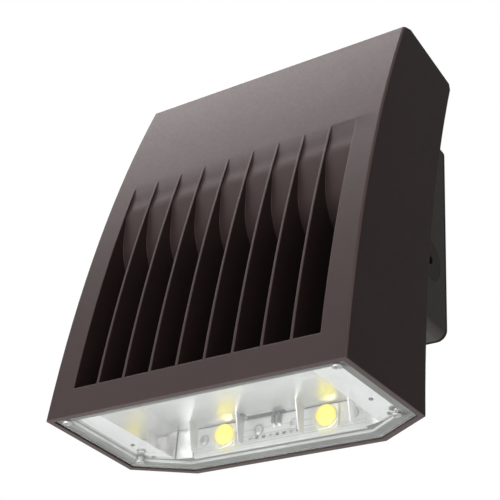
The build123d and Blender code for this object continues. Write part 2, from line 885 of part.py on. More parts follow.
# ---- driver and leads ----
def driver_bracket():
    half_x = bracket_width / 2
    half_z = bracket_height / 2
    plate = block(
        (-half_x, half_x),
        (bracket_depth, bracket_depth + bracket_sheet),
        (driver_middle - half_z, driver_middle + half_z),
    )
    plate = chamfer(plate.edges() | Axis.Y, bracket_corner)
    for x, z in driver_post_places():
        start = (x, bracket_depth - over, z)
        hole = driver_screw_radius + lens_screw_play
        plate -= bar(hole, start, (0, 1, 0), bracket_sheet + 2 * over)
    # side flanges that hold the driver's case
    for side in (-1, 1):
        near = side * (driver_width / 2 + seat_gap)
        far = near + side * bracket_sheet
        plate += block(
            (min(near, far), max(near, far)),
            (bracket_depth, bracket_depth + bracket_flange),
            (driver_middle - bracket_flange, driver_middle + bracket_flange),
        )
    return plate


def driver():
    half_x = driver_width / 2
    half_z = driver_height / 2
    case = block(
        (-half_x, half_x),
        (driver_face, driver_face + driver_depth),
        (driver_middle - half_z, driver_middle + half_z),
    )
    return chamfer(case.edges() | Axis.Y, driver_corner)


def driver_screw(x, z):
    place = (x, driver_face, z)
    head = screw_head(driver_screw_head, place, (0, 1, 0), driver_screw_head_height, 0.7)
    shank = bar(driver_screw_radius - running, place, (0, -1, 0), driver_screw_length)
    back = driver_face + driver_screw_head_height
    slot = block(
        (x - driver_screw_head, x + driver_screw_head),
        (back - slot_sink, back + over),
        (z - slot_half, z + slot_half),
    )
    return head + shank - slot


def eased(points, ease):
    """Route with each corner cut back by the same length on both of its runs."""
    route = [Vector(*points[0])]
    for before, corner, after in zip(points, points[1:], points[2:]):
        here = Vector(*corner)
        for other in (before, after):
            route.append(here + (Vector(*other) - here).normalized() * ease)
    return route + [Vector(*points[-1])]


def tube(points, radius, ease):
    """Lead along straight runs with eased corners."""
    path = Polyline(*eased(points, ease))
    start = Plane(origin=path @ 0, z_dir=path % 0)
    outline = start * RegularPolygon(radius, shank_sides)
    return sweep(outline, path=path, transition=Transition.RIGHT)


def light_leads():
    """Pair of leads from the driver through the duct to the board."""
    leads = []
    for x in (-pair_spacing / 2, pair_spacing / 2):
        route = [
            (x, driver_face + lead_exit, driver_foot),
            (x, driver_face + lead_exit, driver_foot - lead_drop),
            (x, duct_middle, driver_foot - 2 * lead_drop),
            (x, duct_middle, chamber_roof + channel_height / 2),
            (x, led_face - lead_radius - seat_gap, chamber_roof + channel_height / 2),
            (x, led_face - lead_radius - seat_gap, board_foot + board_height - lead_tail),
        ]
        leads.append(tube(route, lead_radius, lead_bend))
    return leads


def connector_places():
    middle = (slot_depth + casting_wall + parting) / 2
    floor = box_foot + box_wall
    first = connector_inset - box_width / 2
    return [(first + connector_spacing * i, middle, floor) for i in range(3)]


def push_in_connector(x, y, z):
    half_x = connector_width / 2
    half_y = (parting - slot_depth - casting_wall) / 2 - connector_margin
    body = block((x - half_x, x + half_x), (y - half_y, y + half_y), (z, z + connector_height))
    body = chamfer(body.edges() | Axis.Z, connector_corner)
    for side in (-1, 1):
        start = (x + side * connector_port_offset, y, z + connector_height)
        body -= bar(connector_port, start, (0, 0, -1), connector_port_depth)
    return body


def supply_leads():
    leads = []
    for x, y, z in connector_places():
        top = z + connector_height
        start = lead_gather * x
        port = x + connector_port_offset
        route = [
            (start, driver_face + lead_exit, driver_foot),
            (start, driver_face + lead_exit, driver_foot - lead_drop),
            (port, y, top + lead_drop / 2),
            (port, y, top - connector_port_depth / 2),
        ]
        leads.append(tube(route, lead_radius, lead_bend / 2))
    return leads


def lead_grommet():
    """Soft sleeve in the mouth of the duct."""
    floor = box_foot + box_wall
    foot = floor - grommet_length
    stack = (
        (duct_radius - running, foot, grommet_length),
        (duct_radius + grommet_flange, floor, grommet_flange_height),
        (duct_radius - grommet_wall, foot - over, grommet_length + grommet_flange_height + 2 * over),
    )
    sleeve, flange, bore = [
        bar(radius, (0, duct_middle, z), (0, 0, 1), length, head_sides) for radius, z, length in stack
    ]
    return sleeve + flange - bore


def ground_screw():
    z = box_foot + box_wall + ground_rise
    face = slot_depth + casting_wall
    head = screw_head(ground_head, (ground_place, face, z), (0, 1, 0), ground_head_height, 0.5)
    back = face + ground_head_height
    slot = block(
        (ground_place - ground_head, ground_place + ground_head),
        (back - slot_sink, back + over),
        (z - slot_half, z + slot_half),
    )
    return head - slot


def save(name, shape):
    """Move a piece to the wall frame and write it."""
    solids = shape if isinstance(shape, list) else [shape]
    placed = [Pos(0, -depth, -box_middle) * solid for solid in solids]
    whole = Compound(children=[s for p in placed for s in p.solids()])
    whole.label = name
    export_step(whole, f"parts/{name}.step")


def main():
    os.makedirs("parts", exist_ok=True)
    save("door_housing", door_housing())
    save("back_box", back_box())
    save("wall_gasket", wall_gasket())
    save("door_gasket", door_gasket())
    save("lens", lens())
    save("lens_gasket", lens_gasket())
    save("lens_screws", [lens_screw(x, y) for x, y in lens_screw_places()])
    save("reflector", reflector())
    save("reflector_end_left", reflector_end(-1))
    save("reflector_end_right", reflector_end(1))
    save("led_board", led_board())
    save("thermal_pad", thermal_pad())
    save("board_screws", [board_screw(x) for x in board_screw_places()])
    save("led_packages", [led_package(x) for x in led_places()])
    save("led_phosphors", [led_phosphor(x) for x in led_places()])
    save("led_domes", [led_dome(x) for x in led_places()])
    save("driver_bracket", driver_bracket())
    save("driver", driver())
    save("driver_screws", [driver_screw(x, z) for x, z in driver_post_places()])
    save("light_leads", light_leads())
    save("supply_leads", supply_leads())
    save("connectors", [push_in_connector(*place) for place in connector_places()])
    save("lead_grommet", lead_grommet())
    save("ground_screw", ground_screw())
    for side, x in zip(("left", "right"), hinge_places()):
        save(f"hinge_pin_{side}", hinge_pin(x))
    for side, x in zip(("left", "right"), screw_places()):
        save(f"captive_screw_{side}", captive_screw(x))
    for name, (start, outward) in conduit_frames().items():
        save(f"conduit_plug_{name}", conduit_plug(start, outward))


main()
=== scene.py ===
# %% [markdown]
# # A wall pack light, dressed in Blender
#
# The light is a cast aluminium door, painted dark bronze, hinged over a box on the wall. Its
# front carries nine deep cooling slots, and a clear window underneath shows a mirror chamber
# with two light sources. The CAD solids arrive as a fixed frame in metres, with +Z up and the
# wall on the plane Y = 0. This lesson gives each solid its finish and models the parts that
# plain solids can't show: rounded casting edges, domes, solder, screws and the driver's case.

# %% Load the frame
import math

import bmesh
import bpy
from mathutils import Matrix, Vector


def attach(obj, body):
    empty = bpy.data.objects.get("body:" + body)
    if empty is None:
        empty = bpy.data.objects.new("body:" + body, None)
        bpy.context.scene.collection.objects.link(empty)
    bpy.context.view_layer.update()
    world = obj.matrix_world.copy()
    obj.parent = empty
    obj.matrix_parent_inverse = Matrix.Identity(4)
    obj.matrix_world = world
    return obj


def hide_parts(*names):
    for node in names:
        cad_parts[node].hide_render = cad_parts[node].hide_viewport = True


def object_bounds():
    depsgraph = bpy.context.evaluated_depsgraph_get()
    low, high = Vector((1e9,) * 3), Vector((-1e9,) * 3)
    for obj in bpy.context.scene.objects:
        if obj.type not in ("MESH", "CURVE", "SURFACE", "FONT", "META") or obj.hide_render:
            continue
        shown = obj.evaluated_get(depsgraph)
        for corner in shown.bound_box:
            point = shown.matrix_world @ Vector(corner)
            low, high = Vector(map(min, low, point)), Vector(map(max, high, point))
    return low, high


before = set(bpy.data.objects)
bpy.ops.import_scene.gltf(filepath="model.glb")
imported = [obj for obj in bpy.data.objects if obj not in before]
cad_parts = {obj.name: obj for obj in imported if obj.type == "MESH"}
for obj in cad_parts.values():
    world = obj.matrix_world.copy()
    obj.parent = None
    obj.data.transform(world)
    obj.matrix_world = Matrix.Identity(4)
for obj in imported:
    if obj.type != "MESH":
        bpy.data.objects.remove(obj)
cad_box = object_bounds()
MM = 0.001
print("CAD box in mm:", [[round(v / MM, 1) for v in corner] for corner in cad_box])

# %% Measure the solids
MERGE_GAP = 0.002 * MM


def solids_of(node_name):
    """Boxes of a node's separate solids as (low, high) corners, from left to right."""
    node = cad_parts[node_name]
    shape = bmesh.new()
    shape.from_mesh(node.data)
    bmesh.ops.remove_doubles(shape, verts=shape.verts, dist=MERGE_GAP)
    left = set(shape.verts)
    boxes = []
    while left:
        patch = [left.pop()]
        for vert in patch:
            for edge in vert.link_edges:
                other = edge.other_vert(vert)
                if other in left:
                    left.remove(other)
                    patch.append(other)
        places = [node.matrix_world @ vert.co for vert in patch]
        low = Vector([min(p[axis] for p in places) for axis in range(3)])
        high = Vector([max(p[axis] for p in places) for axis in range(3)])
        boxes.append((low, high))
    shape.free()
    return sorted(boxes, key=lambda box: (round(box[0].x, 4), box[0].z))


led_bases = solids_of("led_packages")
LED_FACE = led_bases[0][0].y
BOARD_FACE = led_bases[0][1].y
LED_HEIGHT = (led_bases[0][0].z + led_bases[0][1].z) / 2
LED_HALF = (led_bases[1][0].x + led_bases[1][1].x) / 2
LED_REACH = (led_bases[0][1].x - led_bases[0][0].x) / 2
print("light sources at x = +-", round(LED_HALF / MM, 2), "z =", round(LED_HEIGHT / MM, 2))

# %% [markdown]
# ## The camera
#
# The photograph looks up at the light from below and from its right. The camera's place, turn
# and lens were fitted to straight edges of the casting, so its axes are written as numbers.

# %% Camera
CAMERA_PLACE = Vector((0.27811, -0.45354, -0.29905))
CAMERA_RIGHT = Vector((0.836801, 0.543819, 0.063437))
CAMERA_UP = Vector((0.228479, -0.452147, 0.862183))
CAMERA_LENS = 91.76

bpy.ops.object.camera_add(location=CAMERA_PLACE)
camera = bpy.context.object
camera.name = "studio_camera"
turn = Matrix((CAMERA_RIGHT, CAMERA_UP, CAMERA_RIGHT.cross(CAMERA_UP))).transposed()
camera.rotation_euler = turn.to_euler()
camera.data.lens = CAMERA_LENS
camera.data.sensor_width = 36.0
camera.data.clip_start = 0.01
bpy.context.scene.camera = camera
bpy.context.scene.view_settings.view_transform = "Standard"
print("camera looks along", [round(v, 3) for v in -turn.col[2]])

# %% [markdown]
# ## Small helpers
#
# A material is a tree of nodes. These helpers place nodes, join sockets and start a material
# with its Principled shader, so that the cells below read as a list of what each finish needs.

# %% Node helpers
def put(tree, kind, **settings):
    """Add a node and set its properties or unlinked sockets by name."""
    node = tree.nodes.new(kind)
    for name, value in settings.items():
        if hasattr(node, name):
            setattr(node, name, value)
        else:
            node.inputs[name.replace("_", " ")].default_value = value
    return node


def join(tree, source, target):
    tree.links.new(source, target)


def spread(tree, value, low, high, out_low=0.0, out_high=1.0):
    """Map Range between two limits, clamped."""
    node = put(tree, "ShaderNodeMapRange")
    limits = {"From Min": low, "From Max": high, "To Min": out_low, "To Max": out_high}
    for name, number in limits.items():
        node.inputs[name].default_value = number
    join(tree, value, node.inputs["Value"])
    return node.outputs["Result"]


def reckon(tree, operation, first, second=None):
    """Math node on sockets or plain numbers."""
    node = put(tree, "ShaderNodeMath", operation=operation)
    for slot, value in zip(node.inputs, (first, second)):
        if isinstance(value, (int, float)):
            slot.default_value = value
        elif value is not None:
            join(tree, value, slot)
    return node.outputs["Value"]


def blend_colours(tree, share, first, second):
    """Mix two colours; each may be a socket or four numbers."""
    node = put(tree, "ShaderNodeMix", data_type="RGBA")
    sockets = [s for s in node.inputs if s.type == "RGBA"]
    for slot, value in zip(sockets, (first, second)):
        if isinstance(value, (tuple, list)):
            slot.default_value = value
        else:
            join(tree, value, slot)
    factor = [s for s in node.inputs if s.name == "Factor" and s.type == "VALUE"][0]
    if isinstance(share, (int, float)):
        factor.default_value = share
    else:
        join(tree, share, factor)
    return [s for s in node.outputs if s.type == "RGBA"][0]


# %% Start a material and finish it
def start_material(name, **sockets):
    """New material with a Principled shader whose plain sockets are set by name."""
    material = bpy.data.materials.new(name)
    material.use_nodes = True
    tree = material.node_tree
    shader = tree.nodes["Principled BSDF"]
    for socket, value in sockets.items():
        shader.inputs[socket.replace("_", " ")].default_value = value
    return material, tree, shader


def object_place(tree):
    return put(tree, "ShaderNodeTexCoord").outputs["Object"]


def use_group(tree, group, **values):
    node = tree.nodes.new("ShaderNodeGroup")
    node.node_tree = group
    for name, value in values.items():
        node.inputs[name.replace("_", " ")].default_value = value
    return node


def grey(level, tint=0.0):
    return (level + tint, level, level - tint, 1.0)


def shaded(colour, share):
    """The same colour, darker or lighter by a share, and never over 1."""
    return tuple(min(1.0, share * c) for c in colour[:3]) + (1.0,)


def set_roughness(tree, shader, mask, smooth, rough, top=1.0):
    """Roughness between two values, where a mask runs from 0 to its top."""
    join(tree, spread(tree, mask, 0.0, top, smooth, rough), shader.inputs["Roughness"])


def set_relief(tree, shader, height, strength, distance, edges=None):
    """Bump from a height, over the softened edges where they are given."""
    bump = put(tree, "ShaderNodeBump", Strength=strength, Distance=distance)
    join(tree, height, bump.inputs["Height"])
    if edges:
        join(tree, edges.outputs["Normal"], bump.inputs["Normal"])
    join(tree, bump.outputs["Normal"], shader.inputs["Normal"])

# %% [markdown]
# ## Shared surface effects
#
# Several finishes show the same things: edges that catch the light because no real edge is
# sharp, a grain that breaks up reflections, dust that settles on what faces up, and lines left
# by rolling or brushing. Each is built once as a node group with named inputs and outputs, and
# every material places it with its own numbers.

# %% Start a group
def start_group(name, inputs, outputs):
    """New shader group; inputs are (name, default), outputs are (name, kind)."""
    group = bpy.data.node_groups.new(name, "ShaderNodeTree")
    for label, default in inputs:
        socket = group.interface.new_socket(label, in_out="INPUT", socket_type="NodeSocketFloat")
        socket.default_value = default
    for label, kind in outputs:
        group.interface.new_socket(label, in_out="OUTPUT", socket_type=kind)
    return group, group.nodes.new("NodeGroupInput"), group.nodes.new("NodeGroupOutput")

# %% Edge light
def build_edge_group():
    """Softens edges in the shading and puts out how near an edge a point is."""
    group, given, result = start_group(
        "soft_edges",
        [("Radius", 0.0006)],
        [("Edge", "NodeSocketFloat"), ("Normal", "NodeSocketVector")],
    )
    bevel = put(group, "ShaderNodeBevel", samples=6)
    join(group, given.outputs["Radius"], bevel.inputs["Radius"])
    flat = put(group, "ShaderNodeNewGeometry")
    likeness = put(group, "ShaderNodeVectorMath", operation="DOT_PRODUCT")
    join(group, bevel.outputs["Normal"], likeness.inputs[0])
    join(group, flat.outputs["Normal"], likeness.inputs[1])
    edge = spread(group, likeness.outputs["Value"], 0.985, 0.8)
    join(group, edge, result.inputs["Edge"])
    join(group, bevel.outputs["Normal"], result.inputs["Normal"])
    return group


soft_edges = build_edge_group()

# %% Grain of a powder coat or a moulded skin
def build_grain_group():
    """Two sizes of noise: a fine grain over a softer swell, and a slow mottle for colour."""
    group, given, result = start_group(
        "surface_grain",
        [("Grain Scale", 1800.0), ("Swell Scale", 420.0), ("Swell Share", 0.5)],
        [("Height", "NodeSocketFloat"), ("Mottle", "NodeSocketFloat")],
    )
    place = object_place(group)
    fine = put(group, "ShaderNodeTexNoise", Detail=2.0, Roughness=0.6)
    swell = put(group, "ShaderNodeTexNoise", Detail=1.0, Roughness=0.5)
    slow = put(group, "ShaderNodeTexNoise", Scale=38.0, Detail=3.0, Roughness=0.55)
    for node in (fine, swell, slow):
        join(group, place, node.inputs["Vector"])
    join(group, given.outputs["Grain Scale"], fine.inputs["Scale"])
    join(group, given.outputs["Swell Scale"], swell.inputs["Scale"])
    raised = reckon(group, "MULTIPLY", swell.outputs["Fac"], given.outputs["Swell Share"])
    join(group, reckon(group, "ADD", fine.outputs["Fac"], raised), result.inputs["Height"])
    join(group, spread(group, slow.outputs["Fac"], 0.32, 0.68), result.inputs["Mottle"])
    return group


surface_grain = build_grain_group()

# %% Dust on faces that look up
def build_dust_group():
    group, given, result = start_group(
        "settled_dust", [("Amount", 0.3), ("Patch Scale", 60.0)], [("Dust", "NodeSocketFloat")]
    )
    normal = put(group, "ShaderNodeSeparateXYZ")
    join(group, put(group, "ShaderNodeTexCoord").outputs["Normal"], normal.inputs["Vector"])
    patches = put(group, "ShaderNodeTexNoise", Detail=4.0, Roughness=0.65)
    join(group, object_place(group), patches.inputs["Vector"])
    join(group, given.outputs["Patch Scale"], patches.inputs["Scale"])
    upward = spread(group, normal.outputs["Z"], 0.35, 1.0)
    patchy = reckon(group, "MULTIPLY", upward, spread(group, patches.outputs["Fac"], 0.3, 0.75))
    join(group, reckon(group, "MULTIPLY", patchy, given.outputs["Amount"]), result.inputs["Dust"])
    return group


settled_dust = build_dust_group()

# %% Lines left by rolling, drawing or brushing
def build_brush_group():
    """Noise stretched along one axis by dividing that axis's scale."""
    group, given, result = start_group(
        "brushed_lines",
        [("X Scale", 40.0), ("Y Scale", 2200.0), ("Z Scale", 2200.0)],
        [("Lines", "NodeSocketFloat"), ("Cloud", "NodeSocketFloat")],
    )
    stretch = put(group, "ShaderNodeCombineXYZ")
    for axis in "XYZ":
        join(group, given.outputs[f"{axis} Scale"], stretch.inputs[axis])
    scaled = put(group, "ShaderNodeVectorMath", operation="MULTIPLY")
    place = object_place(group)
    join(group, place, scaled.inputs[0])
    join(group, stretch.outputs["Vector"], scaled.inputs[1])
    lines = put(group, "ShaderNodeTexNoise", Scale=1.0, Detail=3.0, Roughness=0.7)
    join(group, scaled.outputs["Vector"], lines.inputs["Vector"])
    cloud = put(group, "ShaderNodeTexNoise", Scale=55.0, Detail=3.0, Roughness=0.6)
    join(group, place, cloud.inputs["Vector"])
    join(group, lines.outputs["Fac"], result.inputs["Lines"])
    join(group, spread(group, cloud.outputs["Fac"], 0.3, 0.7), result.inputs["Cloud"])
    return group


brushed_lines = build_brush_group()
print("shared effects:", [g.name for g in bpy.data.node_groups])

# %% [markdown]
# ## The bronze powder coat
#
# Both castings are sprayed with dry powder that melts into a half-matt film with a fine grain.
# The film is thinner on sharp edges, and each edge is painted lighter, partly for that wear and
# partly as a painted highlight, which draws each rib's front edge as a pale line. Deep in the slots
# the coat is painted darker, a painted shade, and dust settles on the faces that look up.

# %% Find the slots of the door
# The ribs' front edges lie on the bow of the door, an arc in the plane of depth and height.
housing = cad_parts["door_housing"].data
HOUSING_HALF = max(v.co.x for v in housing.vertices)
FRONT_HALF = 0.55 * min(v.co.y for v in housing.vertices)
rib_edge = {}
SLOT_HALF = 0.0
for face in housing.polygons:
    if abs(face.normal.x) < 0.95 or abs(face.center.x) > 0.85 * HOUSING_HALF:
        continue
    for point in (housing.vertices[i].co for i in face.vertices):
        step = round(point.z / (2 * MM))
        if point.y < min(FRONT_HALF, rib_edge.get(step, point).y + 1e-9):
            rib_edge[step] = point
            SLOT_HALF = max(SLOT_HALF, abs(point.x))
rib_edge = sorted(rib_edge.values(), key=lambda p: p.z)
SLOT_FOOT, SLOT_HEAD = rib_edge[0].z, rib_edge[-1].z
mid_rib = min(rib_edge, key=lambda p: abs(p.z - (SLOT_FOOT + SLOT_HEAD) / 2))


def arc_through(first, second, third):
    """Centre and radius of the arc through three points, in y and z."""
    run = [(b.y - first.y, b.z - first.z) for b in (second, third)]
    twice = 2 * (run[0][0] * run[1][1] - run[0][1] * run[1][0])
    span = [y * y + z * z for y, z in run]
    y = (run[1][1] * span[0] - run[0][1] * span[1]) / twice
    z = (run[0][0] * span[1] - run[1][0] * span[0]) / twice
    return Vector((0.0, first.y + y, first.z + z)), (y * y + z * z) ** 0.5


BOW_CENTRE, BOW_RADIUS = arc_through(rib_edge[0], mid_rib, rib_edge[-1])
print("slots from z", round(SLOT_FOOT / MM, 1), "to", round(SLOT_HEAD / MM, 1), "mm")
print("slots to x", round(SLOT_HALF / MM, 1), "mm, radius of the bow", round(BOW_RADIUS / MM), "mm")

# %% Depth in the slots
def build_depth_group():
    """0 on the front, 1 deep in the slots, and 0 on the casting outside the slots' outline."""
    group, given, result = start_group(
        "slot_depth", [("Shallow", 0.006), ("Deep", 0.018)], [("Depth", "NodeSocketFloat")]
    )
    place = object_place(group)
    from_centre = put(group, "ShaderNodeVectorMath", operation="SUBTRACT")
    join(group, place, from_centre.inputs[0])
    from_centre.inputs[1].default_value = BOW_CENTRE
    in_plane = put(group, "ShaderNodeVectorMath", operation="MULTIPLY")
    join(group, from_centre.outputs["Vector"], in_plane.inputs[0])
    in_plane.inputs[1].default_value = (0.0, 1.0, 1.0)
    reach = put(group, "ShaderNodeVectorMath", operation="LENGTH")
    join(group, in_plane.outputs["Vector"], reach.inputs[0])
    depth = spread(group, reckon(group, "SUBTRACT", BOW_RADIUS, reach.outputs["Value"]), 0.0, 1.0)
    join(group, given.outputs["Shallow"], depth.node.inputs["From Min"])
    join(group, given.outputs["Deep"], depth.node.inputs["From Max"])
    parts = put(group, "ShaderNodeSeparateXYZ")
    join(group, place, parts.inputs["Vector"])
    rim = 0.5 * MM
    sideways = reckon(group, "ABSOLUTE", parts.outputs["X"])
    within = spread(group, sideways, SLOT_HALF + rim, SLOT_HALF + 2 * rim, 1.0, 0.0)
    above = spread(group, parts.outputs["Z"], SLOT_FOOT - 2 * rim, SLOT_FOOT - rim)
    below = spread(group, parts.outputs["Z"], SLOT_HEAD + rim, SLOT_HEAD + 2 * rim, 1.0, 0.0)
    inner = reckon(group, "MULTIPLY", within, reckon(group, "MULTIPLY", above, below))
    join(group, reckon(group, "MULTIPLY", depth, inner), result.inputs["Depth"])
    return group


slot_depth = build_depth_group()

# %% Painted casting
def painted_casting(name, colour, edge_radius, dust, slot_shade_tone=1.0):
    material, tree, shader = start_material(name, Specular_IOR_Level=0.3)
    edges = use_group(tree, soft_edges, Radius=edge_radius)
    grain = use_group(tree, surface_grain, Grain_Scale=1500.0, Swell_Scale=520.0, Swell_Share=0.7)
    fallen = use_group(tree, settled_dust, Amount=dust, Patch_Scale=70.0)
    coat = blend_colours(tree, grain.outputs["Mottle"], colour, shaded(colour, 1.12))
    # painted highlight and wear: the coat is painted lighter near every edge
    edge_highlight_and_wear = reckon(tree, "MULTIPLY", edges.outputs["Edge"], 0.75)
    edged = blend_colours(tree, edge_highlight_and_wear, coat, shaded(colour, 2.7))
    dusty = blend_colours(tree, fallen.outputs["Dust"], edged, (0.3, 0.28, 0.26, 1.0))
    rough = spread(tree, grain.outputs["Height"], 0.5, 1.25, 0.4, 0.52)
    if slot_shade_tone < 1.0:
        # painted shade: the coat is painted darker where a slot is deep, and is also made duller
        # there
        depth = use_group(tree, slot_depth).outputs["Depth"]
        dusty = blend_colours(tree, depth, dusty, shaded(colour, slot_shade_tone))
        rough = reckon(tree, "ADD", rough, reckon(tree, "MULTIPLY", depth, 0.4))
    join(tree, dusty, shader.inputs["Base Color"])
    join(tree, reckon(tree, "ADD", rough, fallen.outputs["Dust"]), shader.inputs["Roughness"])
    set_relief(tree, shader, grain.outputs["Height"], 0.32, 0.00012, edges)
    return material


BRONZE = (0.053, 0.034, 0.032, 1.0)
# the door's coat is painted darker deep in its slots, a painted shade
door_paint = painted_casting("bronze_coat_door", BRONZE, 0.0007, 0.22, slot_shade_tone=0.4)
box_paint = painted_casting("bronze_coat_box", (0.088, 0.078, 0.066, 1.0), 0.0006, 0.22)
# a lighter coat for the rounded strips along the door's long edges, a painted highlight
edge_highlight_paint = painted_casting("bronze_coat_painted_highlight", (0.15, 0.108, 0.102, 1.0), 0.0004, 0.1)
plug_paint = painted_casting("bronze_coat_plug", (0.046, 0.04, 0.036, 1.0), 0.0003, 0.1)
print("materials with the paints:", len(bpy.data.materials))

# %% [markdown]
# ## Rubber and silicone
#
# The seals are soft and matt. A closed-cell foam shows small pores, a moulded silicone shows
# almost nothing but a faint skin, and both pick up dust.

# %% Seals
def soft_seal(name, colour, roughness, pore_scale, pore_depth):
    material, tree, shader = start_material(name, Specular_IOR_Level=0.3, Sheen_Weight=0.15)
    grain = use_group(tree, surface_grain, Grain_Scale=pore_scale, Swell_Scale=pore_scale / 3)
    fallen = use_group(tree, settled_dust, Amount=0.2, Patch_Scale=120.0)
    pores = put(tree, "ShaderNodeTexVoronoi", Scale=pore_scale)
    join(tree, object_place(tree), pores.inputs["Vector"])
    skin = blend_colours(tree, grain.outputs["Mottle"], colour, shaded(colour, 0.72))
    dusty = blend_colours(tree, fallen.outputs["Dust"], skin, (0.32, 0.31, 0.3, 1.0))
    join(tree, dusty, shader.inputs["Base Color"])
    set_roughness(tree, shader, grain.outputs["Mottle"], roughness, roughness + 0.1)
    set_relief(tree, shader, pores.outputs["Distance"], pore_depth, 0.0001)
    return material


foam_black = soft_seal("foam_wall_seal", (0.028, 0.028, 0.03, 1.0), 0.82, 1600.0, 0.55)
silicone_black = soft_seal("silicone_door_seal", (0.035, 0.034, 0.035, 1.0), 0.62, 900.0, 0.15)
silicone_grey = soft_seal("silicone_lens_seal", (0.62, 0.63, 0.61, 1.0), 0.5, 700.0, 0.1)
grommet_black = soft_seal("rubber_grommet", (0.03, 0.03, 0.03, 1.0), 0.6, 900.0, 0.15)
pad_grey = soft_seal("thermal_pad_grey", (0.33, 0.36, 0.4, 1.0), 0.7, 1500.0, 0.3)
print("materials with the seals:", len(bpy.data.materials))

# %% [markdown]
# ## Metals
#
# A metal has no colour of its own below its reflection, so its finish lives in the roughness:
# long lines on drawn screws and pins, clouds of crystals on zinc plate, and a soft haze on the
# mirror sheet that blurs each light source into a glow, as the photograph shows.

# %% Plain metals
def bare_metal(name, colour, roughness, lines, depth, edge_radius=0.0002):
    """lines gives the scales along X, Y and Z; the smallest one is the way the lines run."""
    material, tree, shader = start_material(name, Metallic=1.0)
    edges = use_group(tree, soft_edges, Radius=edge_radius)
    brushed = use_group(tree, brushed_lines, X_Scale=lines[0], Y_Scale=lines[1], Z_Scale=lines[2])
    tone = blend_colours(tree, brushed.outputs["Cloud"], colour, shaded(colour, 0.8))
    # painted glint and wear: the metal is painted paler near every edge
    edge_highlight_and_wear = reckon(tree, "MULTIPLY", edges.outputs["Edge"], 0.5)
    edge_glint_and_wear = blend_colours(tree, edge_highlight_and_wear, tone, grey(0.9))
    join(tree, edge_glint_and_wear, shader.inputs["Base Color"])
    mixed = reckon(tree, "MULTIPLY", brushed.outputs["Lines"], brushed.outputs["Cloud"])
    set_roughness(tree, shader, mixed, roughness - 0.06, roughness + 0.14, top=0.6)
    set_relief(tree, shader, brushed.outputs["Lines"], depth, 0.00005, edges)
    return material


screw_steel = bare_metal("stainless_screws", grey(0.62), 0.28, (1400.0, 1400.0, 300.0), 0.25)
pin_steel = bare_metal("drawn_pin_steel", grey(0.55), 0.3, (60.0, 2500.0, 2500.0), 0.3)
zinc_plate = bare_metal(
    "zinc_bracket", (0.62, 0.64, 0.66, 1.0), 0.34, (90.0, 1500.0, 1500.0), 0.2, 0.0004
)
case_metal = bare_metal(
    "driver_case_metal", (0.72, 0.73, 0.74, 1.0), 0.36, (50.0, 2400.0, 2400.0), 0.3, 0.0005
)

# %% Mirror sheet
def mirror_finish(name, clear, hazed):
    material, tree, shader = start_material(name, Metallic=1.0)
    brushed = use_group(tree, brushed_lines, X_Scale=120.0, Y_Scale=900.0, Z_Scale=900.0)
    edges = use_group(tree, soft_edges, Radius=0.0002)
    tone = blend_colours(tree, brushed.outputs["Cloud"], grey(0.875, 0.005), grey(0.815, 0.005))
    join(tree, tone, shader.inputs["Base Color"])
    set_roughness(tree, shader, brushed.outputs["Cloud"], clear, hazed)
    set_relief(tree, shader, brushed.outputs["Lines"], 0.12, 0.00004, edges)
    return material


mirror_sheet = mirror_finish("hazed_mirror_sheet", 0.3, 0.42)
end_mirror = mirror_finish("clear_end_mirror", 0.06, 0.14)
print("materials with the metals:", len(bpy.data.materials))

# %% [markdown]
# ## Clear pieces
#
# Glass bends light, and Blender's lamps can't reach a surface through bent light without noise.
# So each clear material is glass to the eye, but Light Path swaps it for a Transparent shader
# when a lamp looks for what lies behind it.

# %% Glass and clear silicone
def clear_piece(name, tint, index, haze):
    material, tree, shader = start_material(name, Transmission_Weight=1.0, IOR=index)
    smudge = use_group(tree, surface_grain, Grain_Scale=260.0, Swell_Scale=90.0)
    mottled = blend_colours(tree, smudge.outputs["Mottle"], tint, shaded(tint, 0.97))
    join(tree, mottled, shader.inputs["Base Color"])
    set_roughness(tree, shader, smudge.outputs["Mottle"], haze, haze + 0.03)
    through = put(tree, "ShaderNodeBsdfTransparent", Color=tint)
    swap = put(tree, "ShaderNodeMixShader")
    join(tree, put(tree, "ShaderNodeLightPath").outputs["Is Shadow Ray"], swap.inputs["Fac"])
    join(tree, shader.outputs["BSDF"], swap.inputs[1])
    join(tree, through.outputs["BSDF"], swap.inputs[2])
    join(tree, swap.outputs["Shader"], tree.nodes["Material Output"].inputs["Surface"])
    return material


window_glass = clear_piece("tempered_window", (0.95, 0.97, 0.965, 1.0), 1.5, 0.0)
dome_clear = clear_piece("clear_dome", (1.0, 0.97, 0.72, 1.0), 1.3, 0.03)
print("clear materials:", [m.name for m in (window_glass, dome_clear)])

# %% [markdown]
# ## Plastics, phosphor and board
#
# The board is aluminium under a white solder mask, thin enough to show faint copper tracks. The
# phosphor is a soft yellow disc, a little uneven. Insulation, connectors and the earth screw
# have the plain finishes that such small parts have.

# %% Moulded and coated surfaces
def moulded(name, colour, roughness, grain_scale=1200.0, depth=0.15, **sockets):
    material, tree, shader = start_material(name, **sockets)
    grain = use_group(tree, surface_grain, Grain_Scale=grain_scale, Swell_Scale=grain_scale / 4)
    edges = use_group(tree, soft_edges, Radius=0.0002)
    tone = blend_colours(tree, grain.outputs["Mottle"], colour, shaded(colour, 0.86))
    join(tree, tone, shader.inputs["Base Color"])
    set_roughness(tree, shader, grain.outputs["Mottle"], roughness, roughness + 0.08)
    set_relief(tree, shader, grain.outputs["Height"], depth, 0.00006, edges)
    return material


